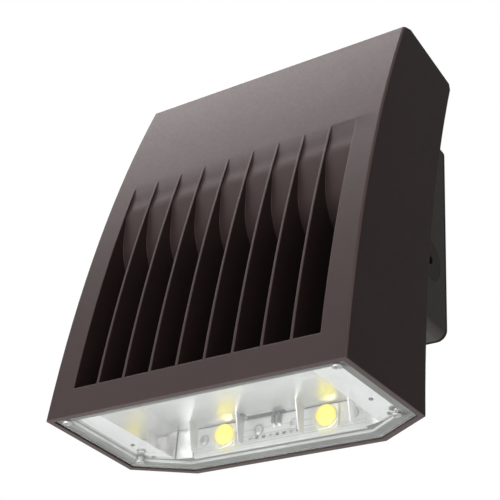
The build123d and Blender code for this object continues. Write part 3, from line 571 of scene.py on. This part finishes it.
led_ceramic = moulded("led_ceramic", (0.82, 0.81, 0.77, 1.0), 0.35)
lead_dark = moulded("lead_insulation", (0.04, 0.04, 0.045, 1.0), 0.42)
connector_amber = moulded("connector_shell", (0.8, 0.62, 0.36, 1.0), 0.28, Transmission_Weight=0.35)
earth_green = moulded("earth_screw_green", (0.05, 0.24, 0.09, 1.0), 0.35, Metallic=0.6)
chip_black = moulded("chip_parts_black", (0.03, 0.03, 0.032, 1.0), 0.4)
chip_tan = moulded("chip_parts_tan", (0.4, 0.27, 0.15, 1.0), 0.5)
screw_satin = bare_metal("satin_zinc_screws", grey(0.5), 0.42, (900.0, 900.0, 400.0), 0.25)
solder = moulded("solder_joints", (0.62, 0.63, 0.64, 1.0), 0.3, 900.0, 0.3, Metallic=0.85)

# %% Distance from the nearer light source
def build_reach_group():
    """How far a point lies from the middle line of the nearer light source."""
    group, given, result = start_group("source_reach", [], [("Reach", "NodeSocketFloat")])
    flat = put(group, "ShaderNodeSeparateXYZ")
    join(group, object_place(group), flat.inputs["Vector"])
    apart = reckon(group, "SUBTRACT", reckon(group, "ABSOLUTE", flat.outputs["X"]), LED_HALF)
    rise = reckon(group, "SUBTRACT", flat.outputs["Z"], LED_HEIGHT)
    squares = [reckon(group, "MULTIPLY", side, side) for side in (apart, rise)]
    join(group, reckon(group, "SQRT", reckon(group, "ADD", *squares)), result.inputs["Reach"])
    return group


source_reach = build_reach_group()


def phosphor_finish():
    """Yellow disc that turns orange towards its rim and gives a little light of its own."""
    material, tree, shader = start_material("led_phosphor", Emission_Strength=0.5)
    reach = use_group(tree, source_reach).outputs["Reach"]
    grain = use_group(tree, surface_grain, Grain_Scale=2600.0, Swell_Scale=900.0)
    rim = spread(tree, reach, LED_REACH * 0.5, LED_REACH * 0.8, 0.0, 0.8)
    light, dark = (0.93, 0.87, 0.09, 1.0), (0.9, 0.8, 0.06, 1.0)
    disc = blend_colours(tree, grain.outputs["Mottle"], light, dark)
    join(tree, blend_colours(tree, rim, disc, (0.9, 0.62, 0.05, 1.0)), shader.inputs["Base Color"])
    lit = blend_colours(tree, rim, (1.0, 0.95, 0.16, 1.0), (0.85, 0.6, 0.04, 1.0))
    join(tree, lit, shader.inputs["Emission Color"])
    set_roughness(tree, shader, grain.outputs["Mottle"], 0.45, 0.55)
    return material


phosphor_yellow = phosphor_finish()

# %% White board
def band(tree, value, middle, half):
    """1 where a value lies within half of the middle, with a soft rim."""
    away = reckon(tree, "ABSOLUTE", reckon(tree, "SUBTRACT", value, middle))
    return spread(tree, away, half, half * 1.35, 1.0, 0.0)


TRACK_HALF = 0.13 * MM
WIDE_TRACK_HALF = 0.16 * MM
FOOT_TRACK_DROP = 5.2 * MM
TRACK_DROPS = (4.2 * MM, 3.4 * MM, -5.5 * MM)
SHORT_TRACK_RISES = (0.9 * MM, -1.9 * MM)


def board_finish():
    material, tree, shader = start_material("white_solder_mask", Specular_IOR_Level=0.5)
    flat = put(tree, "ShaderNodeSeparateXYZ")
    join(tree, object_place(tree), flat.inputs["Vector"])
    across, up = flat.outputs["X"], flat.outputs["Z"]
    # long supply tracks along the board's foot, and short ones between the light sources
    tracks = band(tree, up, LED_HEIGHT - FOOT_TRACK_DROP, WIDE_TRACK_HALF)
    for drop in TRACK_DROPS:
        tracks = reckon(tree, "MAXIMUM", tracks, band(tree, up, LED_HEIGHT - drop, TRACK_HALF))
    inner = band(tree, across, 0.0, LED_HALF * 0.62)
    for rise in SHORT_TRACK_RISES:
        short = reckon(tree, "MULTIPLY", inner, band(tree, up, LED_HEIGHT + rise, WIDE_TRACK_HALF))
        tracks = reckon(tree, "MAXIMUM", tracks, short)
    grain = use_group(tree, surface_grain, Grain_Scale=1500.0, Swell_Scale=300.0)
    white, shadow = (0.63, 0.625, 0.62, 1.0), (0.55, 0.548, 0.54, 1.0)
    mask = blend_colours(tree, grain.outputs["Mottle"], white, shadow)
    tracked = blend_colours(tree, tracks, mask, (0.34, 0.35, 0.35, 1.0))
    # painted glow: each light source's yellow light is painted on the mask round it
    reach = use_group(tree, source_reach).outputs["Reach"]
    tint = spread(tree, reach, LED_REACH * 0.9, LED_REACH * 1.7, 0.75, 0.0)
    halo_painted = blend_colours(tree, tint, tracked, (0.86, 0.78, 0.3, 1.0))
    join(tree, halo_painted, shader.inputs["Base Color"])
    set_roughness(tree, shader, grain.outputs["Mottle"], 0.3, 0.4)
    set_relief(tree, shader, tracks, 0.4, 0.00004)
    return material


board_white = board_finish()
print("materials in all:", len(bpy.data.materials))

# %% [markdown]
# ## Finishes for the CAD solids
#
# A CAD solid whose shape is right only needs a finish. Its material slots are pointed at the
# new materials by node name.

# %% Give each solid its material
FINISHES = {
    "door_housing": door_paint,
    "back_box": box_paint,
    "wall_gasket": foam_black,
    "door_gasket": silicone_black,
    "lens": window_glass,
    "lens_gasket": silicone_grey,
    "lens_screws": screw_steel,
    "reflector": mirror_sheet,
    "reflector_end_left": end_mirror,
    "reflector_end_right": end_mirror,
    "led_board": board_white,
    "thermal_pad": pad_grey,
    "board_screws": screw_steel,
    "led_packages": led_ceramic,
    "led_phosphors": phosphor_yellow,
    "led_domes": dome_clear,
    "driver_bracket": zinc_plate,
    "driver": case_metal,
    "driver_screws": screw_steel,
    "light_leads": lead_dark,
    "supply_leads": lead_dark,
    "connectors": connector_amber,
    "lead_grommet": grommet_black,
    "ground_screw": earth_green,
    "hinge_pin_left": pin_steel,
    "hinge_pin_right": pin_steel,
    "captive_screw_left": screw_steel,
    "captive_screw_right": screw_steel,
    "conduit_plug_left": plug_paint,
    "conduit_plug_right": plug_paint,
    "conduit_plug_bottom": plug_paint,
}
for node_name, finish in FINISHES.items():
    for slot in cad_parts[node_name].material_slots:
        slot.material = finish
missing = sorted(set(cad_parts) - set(FINISHES))
print("finished solids:", len(FINISHES), "without a finish:", missing)

# %% [markdown]
# ## Castings with rounded edges
#
# A cast edge is never sharp: the mould and the paint round it to about half a millimetre. The
# solid's triangles are copied and merged, flat triangles are dissolved into whole faces, and a
# Bevel modifier rounds every edge that turns by more than 30 degrees.

# %% Round a copy of a casting
def select_only(thing):
    bpy.ops.object.select_all(action="DESELECT")
    thing.select_set(True)
    bpy.context.view_layer.objects.active = thing


def keep_flat(piece):
    """Give large faces their own normals, so that only the rounded strips blend."""
    weighted = piece.modifiers.new("flat_faces", "WEIGHTED_NORMAL")
    weighted.keep_sharp = True
    weighted.weight = 100
    bpy.ops.object.modifier_apply(modifier="flat_faces")


FLAT_ANGLE = math.radians(0.4)
SMOOTH_ANGLE = math.radians(32)
WIRE_SMOOTH_ANGLE = math.radians(60)


def rounded_copy(node_name, piece_name, finish, width, angle):
    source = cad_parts[node_name]
    select_only(source)
    bpy.ops.object.duplicate()
    piece = bpy.context.object
    piece.name = piece_name
    piece.parent = None
    for key in list(piece.keys()):
        del piece[key]
    bpy.ops.object.mode_set(mode="EDIT")
    bpy.ops.mesh.select_all(action="SELECT")
    bpy.ops.mesh.remove_doubles(threshold=MERGE_GAP)
    bpy.ops.mesh.dissolve_limited(angle_limit=FLAT_ANGLE)
    bpy.ops.object.mode_set(mode="OBJECT")
    bevel = piece.modifiers.new("edge_round", "BEVEL")
    bevel.width = width
    bevel.segments = 2
    bevel.limit_method = "ANGLE"
    bevel.angle_limit = math.radians(angle)
    bpy.ops.object.modifier_apply(modifier="edge_round")
    smooth = WIRE_SMOOTH_ANGLE if finish is lead_dark else SMOOTH_ANGLE
    bpy.ops.object.shade_smooth_by_angle(angle=smooth)
    keep_flat(piece)
    for slot in piece.material_slots:
        slot.material = finish
    print(piece_name, "faces:", len(piece.data.polygons))
    return piece


def hand_in(piece, body, slot, *replaced):
    """Parent a piece to its body's empty and hide the solids that it stands for; slot is not used.
    """
    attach(piece, body)
    for node_name in replaced:
        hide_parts(node_name)


# %% Round the castings, the seals and the small folded or moulded parts
# node, piece, body, slot, edge width in mm, least angle of a rounded edge
ROUNDED = (
    ("door_housing", "door_casting", "door", "door_casting", 0.45, 30),
    ("back_box", "box_casting", "back_box", "box_casting", 0.4, 30),
    ("wall_gasket", "foam_frame", "back_box", "seal_rubber", 0.4, 60),
    ("conduit_plug_left", "plug_left", "back_box", "plug_bronze", 0.3, 40),
    ("conduit_plug_right", "plug_right", "back_box", "plug_bronze", 0.3, 40),
    ("conduit_plug_bottom", "plug_bottom", "back_box", "plug_bronze", 0.3, 40),
    ("captive_screw_left", "door_screw_left", "screw_left", "screw_steel", 0.2, 40),
    ("captive_screw_right", "door_screw_right", "screw_right", "screw_steel", 0.2, 40),
    ("hinge_pin_left", "pin_left", "back_box", "pin_steel", 0.15, 40),
    ("hinge_pin_right", "pin_right", "back_box", "pin_steel", 0.15, 40),
    ("lens", "window_pane", "door", "lens_clear", 0.35, 60),
    ("driver_bracket", "bracket_plate", "door", "bracket_zinc", 0.25, 40),
    ("connectors", "connector_shells", "door", "connector_clear", 0.3, 40),
    ("lead_grommet", "duct_grommet", "door", "grommet_rubber", 0.2, 50),
    ("lens_gasket", "window_seal", "door", "lens_seal", 0.4, 60),
    ("door_gasket", "door_seal", "door", "seal_rubber", 0.35, 60),
    ("driver", "driver_case", "door", "driver_case", 0.8, 30),
    ("led_packages", "led_bases", "door", "led_ceramic", 0.15, 30),
    ("led_board", "light_board", "door", "board_white", 0.12, 60),
    ("ground_screw", "earth_screw", "door", "ground_green", 0.2, 30),
    ("light_leads", "light_wires", "door", "lead_jacket", 0.2, 30),
    ("supply_leads", "supply_wires", "door", "lead_jacket", 0.2, 30),
)
for node_name, piece_name, body, slot, width, angle in ROUNDED:
    rounded = rounded_copy(node_name, piece_name, FINISHES[node_name], width * MM, angle)
    hand_in(rounded, body, slot, node_name)

# %% Painted highlight on the long edges
casting = bpy.data.objects["door_casting"]
casting.data.materials.append(edge_highlight_paint)
door_low, door_high = solids_of("door_housing")[0]
FLANK = 0.88 * door_high.x
MOUTH = door_low.z + 1.2 * MM
LEAN = 0.35
DOWNWARD = -0.93
pale = 0
# rounded strips along the flanks and round the mouth take the lighter coat, a painted highlight
for face in casting.data.polygons:
    normal, middle = face.normal, face.center
    along_flank = abs(middle.x) > FLANK and min(abs(normal.x), abs(normal.y)) > LEAN
    round_mouth = middle.z < MOUTH and normal.y < -LEAN and DOWNWARD < normal.z < -LEAN
    if along_flank or round_mouth:
        face.material_index = 1
        pale += 1
print("pale edge faces:", pale)

# %% [markdown]
# ## Turned parts
#
# Screws, domes and phosphor discs are turned shapes. An outline of radius and height is swept
# round by a Screw modifier, and a screwdriver recess is cut by a Boolean modifier.

# %% Turn an outline
PIECE_SMOOTH_ANGLE = math.radians(40)


def lathe(name, outline, place, direction, finish, steps=32):
    """Turned piece; outline is (radius, height) pairs in mm, the height along direction."""
    shape = bpy.data.meshes.new(name)
    points = [(radius * MM, 0.0, height * MM) for radius, height in outline]
    shape.from_pydata(points, [(i, i + 1) for i in range(len(points) - 1)], [])
    piece = bpy.data.objects.new(name, shape)
    bpy.context.collection.objects.link(piece)
    select_only(piece)
    turned = piece.modifiers.new("turn", "SCREW")
    turned.steps = steps
    turned.use_merge_vertices = True
    turned.merge_threshold = 0.000001
    bpy.ops.object.modifier_apply(modifier="turn")
    bpy.ops.object.mode_set(mode="EDIT")
    bpy.ops.mesh.select_all(action="SELECT")
    bpy.ops.mesh.normals_make_consistent(inside=False)
    bpy.ops.object.mode_set(mode="OBJECT")
    piece.rotation_euler = Vector((0, 0, 1)).rotation_difference(Vector(direction)).to_euler()
    piece.location = place
    bpy.ops.object.transform_apply()
    piece.data.materials.append(finish)
    bpy.ops.object.shade_smooth_by_angle(angle=PIECE_SMOOTH_ANGLE)
    return piece


# %% Blocks, cuts and joined pieces
def slab(name, low, high, finish, rounding=0.1):
    """Bevelled block between two corners."""
    bpy.ops.object.select_all(action="DESELECT")
    bpy.ops.mesh.primitive_cube_add(size=1.0, location=(Vector(low) + Vector(high)) / 2)
    piece = bpy.context.object
    piece.name = name
    piece.scale = [abs(b - a) for a, b in zip(low, high)]
    bpy.ops.object.transform_apply()
    if rounding:
        bevel = piece.modifiers.new("edge_round", "BEVEL")
        bevel.width = rounding * MM
        bevel.segments = 2
        bpy.ops.object.modifier_apply(modifier="edge_round")
    piece.data.materials.append(finish)
    bpy.ops.object.shade_smooth_by_angle(angle=PIECE_SMOOTH_ANGLE)
    return piece


def cut_away(piece, cutter):
    select_only(piece)
    cut = piece.modifiers.new("recess", "BOOLEAN")
    cut.operation = "DIFFERENCE"
    cut.object = cutter
    cut.solver = "EXACT"
    bpy.ops.object.modifier_apply(modifier="recess")
    bpy.data.objects.remove(cutter)


def merge(name, pieces):
    """Join pieces into one object under a new name."""
    bpy.ops.object.select_all(action="DESELECT")
    for piece in pieces:
        piece.select_set(True)
    bpy.context.view_layer.objects.active = pieces[0]
    if len(pieces) > 1:
        bpy.ops.object.join()
    pieces[0].name = name
    return pieces[0]

# %% Screws
def machine_screw(place, direction, head, shank, length, rise, finish, recess=0.5):
    """Pan-head screw: place is the seat of the head, and direction points out of the head."""
    pitch = 0.5
    outline = [(0.0, rise), (0.55 * head, 0.97 * rise), (0.85 * head, 0.74 * rise)]
    outline += [(head, 0.3 * rise), (head, 0.0), (shank, 0.0)]
    turns = int((length - 1.0) / pitch)
    for i in range(turns):
        depth = -0.5 - pitch * i
        outline += [(0.86 * shank, depth), (shank, depth - 0.5 * pitch)]
    outline += [(0.6 * shank, -length), (0.0, -length)]
    screw = lathe("screw", outline, place, direction, finish, 24)
    out = Vector(direction)
    side = out.orthogonal().normalized()
    for arm in (side, out.cross(side)):
        across = out.cross(arm)
        reach = arm * 0.55 * head + across * 0.12 * head
        reach = Vector([abs(v) for v in reach]) * MM
        sunk = Vector([abs(v) for v in out]) * recess * MM
        middle = Vector(place) + out * rise * MM
        cutter = slab("recess", middle - reach - sunk, middle + reach + sunk, finish, 0)
        cut_away(screw, cutter)
    return screw


def screw_set(name, node_name, direction, rise, finish, shank_share):
    """Screws in the places of a node's solids, all with the same direction."""
    axis = max(range(3), key=lambda i: abs(direction[i]))
    screws = []
    for low, high in solids_of(node_name):
        middle = (low + high) / 2
        whole = (high[axis] - low[axis]) / MM
        head = (high[(axis + 1) % 3] - low[(axis + 1) % 3]) / MM / 2
        middle[axis] = low[axis] + rise * MM if direction[axis] < 0 else high[axis] - rise * MM
        screws.append(
            machine_screw(middle, direction, head, head * shank_share, whole - rise, rise, finish)
        )
    return merge(name, screws)


# piece, node, direction of the head, its height, finish, shank as a share of the head
SCREW_SETS = (
    ("window_screws", "lens_screws", (0, 0, -1), 0.9, screw_satin, 0.61),
    ("heat_screws", "board_screws", (0, -1, 0), 1.4, screw_satin, 0.5),
    ("case_screws", "driver_screws", (0, 1, 0), 2.0, screw_steel, 0.51),
)
for name, node_name, *facts in SCREW_SETS:
    hand_in(screw_set(name, node_name, *facts), "door", "screw_steel", node_name)
print("screw sets:", [row[0] for row in SCREW_SETS])

# %% Domes and phosphor discs
disc_low, disc_high = solids_of("led_phosphors")[0]
DISC_RADIUS = (disc_high.x - disc_low.x) / 2 / MM
DISC_HEIGHT = 0.4
DOME_RADIUS = 5.1
DISC_BEVEL = 0.14
LIFT = 0.03
hollow_top, hollow_side = DISC_HEIGHT + LIFT, DISC_RADIUS + LIFT
hollow = [(0.0, hollow_top), (hollow_side, hollow_top), (hollow_side, LIFT)]
arc = [math.radians(6 * step) for step in range(16)]
shell = [(DOME_RADIUS * math.cos(a), max(LIFT, DOME_RADIUS * math.sin(a))) for a in arc]
disc = [(0.0, 0.0), (DISC_RADIUS, 0.0), (DISC_RADIUS, DISC_HEIGHT - DISC_BEVEL)]
disc += [(DISC_RADIUS - DISC_BEVEL, DISC_HEIGHT), (0.0, DISC_HEIGHT)]
domes, discs = [], []
for side in (-1, 1):
    place = (side * LED_HALF, LED_FACE, LED_HEIGHT)
    domes.append(lathe("dome", hollow + shell, place, (0, -1, 0), dome_clear, 48))
    discs.append(lathe("disc", disc, place, (0, -1, 0), phosphor_yellow, 48))
hand_in(merge("clear_domes", domes), "door", "led_clear", "led_domes")
hand_in(merge("phosphor_discs", discs), "door", "led_yellow", "led_phosphors")
print("domes:", len(domes), "discs:", len(discs), "radius in mm:", round(DISC_RADIUS, 2))

# %% [markdown]
# ## Round the light sources
#
# The mirror's rear edge turns down to the board, but for a slot in its middle where the leads
# come through. Small mirrors close the corners beside the board. Solder pads, a row of chips
# and the ends of the leads sit on the board.

# %% Mirror's rear flanges and corner mirrors
roof_high = solids_of("reflector")[0][1]
SHEET = 0.6 * MM
ROOF = roof_high.z - SHEET
END = roof_high.x
MIRROR_REAR = roof_high.y
LEAD_SLOT = (-15.0 * MM, 5.0 * MM)
rear_low, rear_high = MIRROR_REAR - 0.4 * MM, BOARD_FACE - 0.15 * MM
flanges = []
for left, right in ((-END, LEAD_SLOT[0]), (LEAD_SLOT[1], END)):
    low, high = (left, rear_low, ROOF), (right, rear_high, ROOF + SHEET)
    flanges.append(slab("flange", low, high, mirror_sheet))
board_low, board_high = solids_of("led_board")[0]
for side in (-1, 1):
    start = Vector((side * (board_high.x + 0.2 * MM), BOARD_FACE - 0.1 * MM, 0))
    end = Vector((side * (END - 0.8 * MM), MIRROR_REAR + 0.9 * MM, 0))
    run = end - start
    low, high = (0.0, -0.2 * MM, board_low.z), (run.length, 0.2 * MM, ROOF - 0.1 * MM)
    wing = slab("corner", low, high, mirror_sheet, 0.05)
    wing.rotation_euler = (0.0, 0.0, math.atan2(run.y, run.x))
    wing.location = start
    select_only(wing)
    bpy.ops.object.transform_apply()
    flanges.append(wing)
hand_in(merge("mirror_flanges", flanges), "door", "mirror_sheet")
print("flanges and corner mirrors:", len(flanges))

# %% Rivets that hold the mirror's shelves
RIVET_PLACES = (0.62, 0.9)  # as shares of the end mirror's depth
shelf_rivet = [(0, 0.5), (0.6, 0.45), (0.95, 0.2), (1.0, 0), (0, 0)]
rivets = []
for node_name in ("reflector_end_left", "reflector_end_right"):
    low, high = solids_of(node_name)[0]
    side = 1 if node_name.endswith("right") else -1
    across = (low.x + high.x) / 2 + side * 0.6 * MM
    for share in RIVET_PLACES:
        place = (across, low.y + share * (high.y - low.y), low.z)
        rivets.append(lathe("rivet", shelf_rivet, place, (0, 0, -1), chip_black, 20))
hand_in(merge("shelf_rivets", rivets), "door", "grommet_rubber")
print("rivets:", len(rivets))

# %% Solder pads of the light sources
PAD_LENGTH = 1.5 * MM
PAD_HALF = 1.6 * MM
PAD_THICK = 0.16 * MM
pads = []
for side in (-1, 1):
    for end in (-1, 1):
        near = side * LED_HALF + end * (LED_REACH + 0.1 * MM)
        far = near + end * PAD_LENGTH
        low = (min(near, far), BOARD_FACE - PAD_THICK, LED_HEIGHT - PAD_HALF)
        high = (max(near, far), BOARD_FACE, LED_HEIGHT + PAD_HALF)
        pads.append(slab("pad", low, high, solder, 0.12))
print("pads of the light sources:", len(pads))

# %% Row of chips, joints of the leads and the mirror's clip
CHIP_ROW = (-13.0 * MM, 11.0 * MM)
CHIP_COUNT = 8
CHIP_HALF = (0.85 * MM, 0.5 * MM)
CHIP_HEIGHT = LED_HEIGHT - 3.3 * MM
CHIP_THICK = 0.55 * MM
CAP_HALF = 0.3 * MM
CAP_THICK = 0.4 * MM
chips = []
for i in range(CHIP_COUNT):
    x = CHIP_ROW[0] + (CHIP_ROW[1] - CHIP_ROW[0]) * i / (CHIP_COUNT - 1)
    half_x, half_z = CHIP_HALF
    low = (x - half_x, BOARD_FACE - CHIP_THICK, CHIP_HEIGHT - half_z)
    high = (x + half_x, BOARD_FACE, CHIP_HEIGHT + half_z)
    chips.append(slab("chip", low, high, chip_black if i % 3 else chip_tan, 0.06))
    for end in (-1, 1):
        middle = x + end * (half_x + 0.15 * MM)
        low = (middle - CAP_HALF, BOARD_FACE - CAP_THICK, CHIP_HEIGHT - half_z - 0.1 * MM)
        high = (middle + CAP_HALF, BOARD_FACE, CHIP_HEIGHT + half_z + 0.1 * MM)
        pads.append(slab("pad", low, high, solder, 0.12))
for low, high in solids_of("light_leads"):
    x = (low.x + high.x) / 2
    foot = low.z - 0.6 * MM
    drop = [(0.0, 0.9), (0.5, 0.8), (1.0, 0.35), (1.3, 0.0), (0.0, 0.0)]
    pads.append(lathe("joint", drop, (x, BOARD_FACE, foot), (0, -1, 0), solder, 20))
hand_in(merge("solder_pads", pads), "door", "board_white")
hand_in(merge("board_chips", chips), "door", "board_white")
clip_place = Vector((LEAD_SLOT[0] + 0.4 * MM, MIRROR_REAR - 2.4 * MM, ROOF))
low = clip_place - Vector((1.2, 1.2, 0.7)) * MM
high = clip_place + Vector((1.2, 1.2, 0.05)) * MM
clip = slab("mirror_clip", low, high, chip_black, 0.2)
hand_in(clip, "door", "grommet_rubber")
print("pads:", len(pads), "chips:", len(chips))

# %% [markdown]
# ## The driver's case
#
# The driver is a folded metal case under a riveted lid. Its leads leave through rubber
# bushings in the lower wall.

# %% Lid, rivets and bushings
case_low, case_high = solids_of("driver")[0]
LID_INSET = 1.4 * MM
low = (case_low.x + LID_INSET, case_high.y - 0.2 * MM, case_low.z + LID_INSET)
high = (case_high.x - LID_INSET, case_high.y + 0.6 * MM, case_high.z - LID_INSET)
lid = [slab("lid", low, high, case_metal, 0.35)]
for x in (case_low.x + 5 * MM, case_high.x - 5 * MM):
    for z in (case_low.z + 5 * MM, case_high.z - 5 * MM):
        head = [(0, 0.9), (0.8, 0.75), (1.4, 0.3), (1.5, 0), (0, 0)]
        lid.append(lathe("rivet", head, (x, case_high.y + 0.55 * MM, z), (0, 1, 0), case_metal, 24))
hand_in(merge("driver_lid", lid), "door", "driver_case")
WIRE_END_GAP = 0.05 * MM
collar = [(0.95, 1.2), (1.45, 1.2), (1.7, 0.9), (1.7, 0), (0.95, 0), (0.95, 1.2)]
bushings = []
for node_name in ("light_leads", "supply_leads"):
    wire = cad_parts[node_name]
    wire_points = [wire.matrix_world @ v.co for v in wire.data.vertices]
    for low, high in solids_of(node_name):
        ends = [p for p in wire_points if abs(p.z - high.z) < WIRE_END_GAP]
        ends = [p for p in ends if low.x - 0.1 * MM < p.x < high.x + 0.1 * MM]
        middle = sum(ends, Vector()) / len(ends)
        place = (middle.x, middle.y, case_low.z)
        bushings.append(lathe("bushing", collar, place, (0, 0, -1), grommet_black, 24))
hand_in(merge("lead_bushings", bushings), "door", "grommet_rubber")
print("bushings:", len(bushings))

# %% [markdown]
# ## Studio
#
# A pale floor lies below the camera, and a broad soft lamp overhead to the left makes the pale
# sweep across the upper front. The background is white to the eye and in reflections, but
# lights the object only at a plain level.

# %% Floor
FLOOR_HEIGHT = -0.5
FLOOR_GLOW = 0.55


def floor_finish():
    """Pale floor that is white in reflections and clear from below."""
    material, tree, shader = start_material("studio_floor", Roughness=0.9)
    grain = use_group(tree, surface_grain, Grain_Scale=60.0, Swell_Scale=12.0)
    tone = blend_colours(tree, grain.outputs["Mottle"], grey(0.86), grey(0.84))
    join(tree, tone, shader.inputs["Base Color"])
    path = put(tree, "ShaderNodeLightPath")
    bounced = [path.outputs[f"Is {kind} Ray"] for kind in ("Glossy", "Transmission")]
    reflected = reckon(tree, "MAXIMUM", *bounced)
    # the camera sees the floor paler than the lamps make it, and still sees the shadow on it
    glow = reckon(tree, "MULTIPLY", path.outputs["Is Camera Ray"], FLOOR_GLOW)
    white_light = put(tree, "ShaderNodeEmission", Strength=1.0)
    topside = put(tree, "ShaderNodeMixShader")
    join(tree, reckon(tree, "MAXIMUM", reflected, glow), topside.inputs["Fac"])
    join(tree, shader.outputs["BSDF"], topside.inputs[1])
    join(tree, white_light.outputs["Emission"], topside.inputs[2])
    # from below, the floor is clear, so that it hides nothing
    both = put(tree, "ShaderNodeMixShader")
    join(tree, put(tree, "ShaderNodeNewGeometry").outputs["Backfacing"], both.inputs["Fac"])
    join(tree, topside.outputs["Shader"], both.inputs[1])
    join(tree, put(tree, "ShaderNodeBsdfTransparent").outputs["BSDF"], both.inputs[2])
    join(tree, both.outputs["Shader"], tree.nodes["Material Output"].inputs["Surface"])
    return material


bpy.ops.object.select_all(action="DESELECT")
bpy.ops.mesh.primitive_plane_add(size=8.0, location=(0.0, 0.0, FLOOR_HEIGHT))
floor = bpy.context.object
floor.name = "studio_floor"
floor.data.materials.append(floor_finish())
print("floor at z =", FLOOR_HEIGHT)

# %% World
world = bpy.data.worlds.new("studio_world")
bpy.context.scene.world = world
world.use_nodes = True
sky = world.node_tree
sky.nodes.clear()
path = put(sky, "ShaderNodeLightPath")
seen = reckon(sky, "MAXIMUM", path.outputs["Is Camera Ray"], path.outputs["Is Glossy Ray"])
seen = reckon(sky, "MAXIMUM", seen, path.outputs["Is Transmission Ray"])
background = put(sky, "ShaderNodeBackground", Color=(1.0, 1.0, 1.0, 1.0))
AMBIENT = 0.13
DARK_SIDE = (0.72, 0.55, 0.42)
DARK_SIDE_LEVEL = 0.2
heading = put(sky, "ShaderNodeVectorMath", operation="DOT_PRODUCT")
join(sky, put(sky, "ShaderNodeTexCoord").outputs["Generated"], heading.inputs[0])
heading.inputs[1].default_value = DARK_SIDE
side_tone = spread(sky, heading.outputs["Value"], 0.1, 0.75, 1.0, DARK_SIDE_LEVEL)
gloss_only = reckon(sky, "SUBTRACT", path.outputs["Is Glossy Ray"], path.outputs["Is Camera Ray"])
dimming = reckon(sky, "MULTIPLY", gloss_only, reckon(sky, "SUBTRACT", 1.0, side_tone))
level = spread(sky, seen, 0.0, 1.0, AMBIENT, 1.0)
kept = spread(sky, dimming, 0.0, 1.0, 1.0, 0.0)
join(sky, reckon(sky, "MULTIPLY", level, kept), background.inputs["Strength"])
sky_out = put(sky, "ShaderNodeOutputWorld")
join(sky, background.outputs["Background"], sky_out.inputs["Surface"])
print("ambient level:", AMBIENT)

# %% Lamps
def soft_lamp(name, place, aim, size, watts, tint=(1.0, 1.0, 1.0)):
    bpy.ops.object.light_add(type="AREA", location=place)
    lamp = bpy.context.object
    lamp.name = name
    lamp.data.size = size
    lamp.data.energy = watts
    lamp.data.color = tint
    lamp.rotation_euler = (Vector(aim) - Vector(place)).to_track_quat("-Z", "Y").to_euler()
    return lamp


middle = sum((Vector(c) for c in cad_box), Vector()) / 2
soft_lamp("overhead_soft", (-0.5, -0.02, 1.1), middle, 0.85, 7.6, (1.0, 0.9, 0.905))
soft_lamp("front_soft", (0.15, -1.2, 0.15), middle, 0.6, 2.9, (1.0, 0.93, 0.92))
soft_lamp("under_soft", (-0.1, -0.25, -0.46), middle, 0.4, 2.0, (1.0, 0.985, 0.96))
print("lamps:", [lamp.name for lamp in bpy.data.lights])
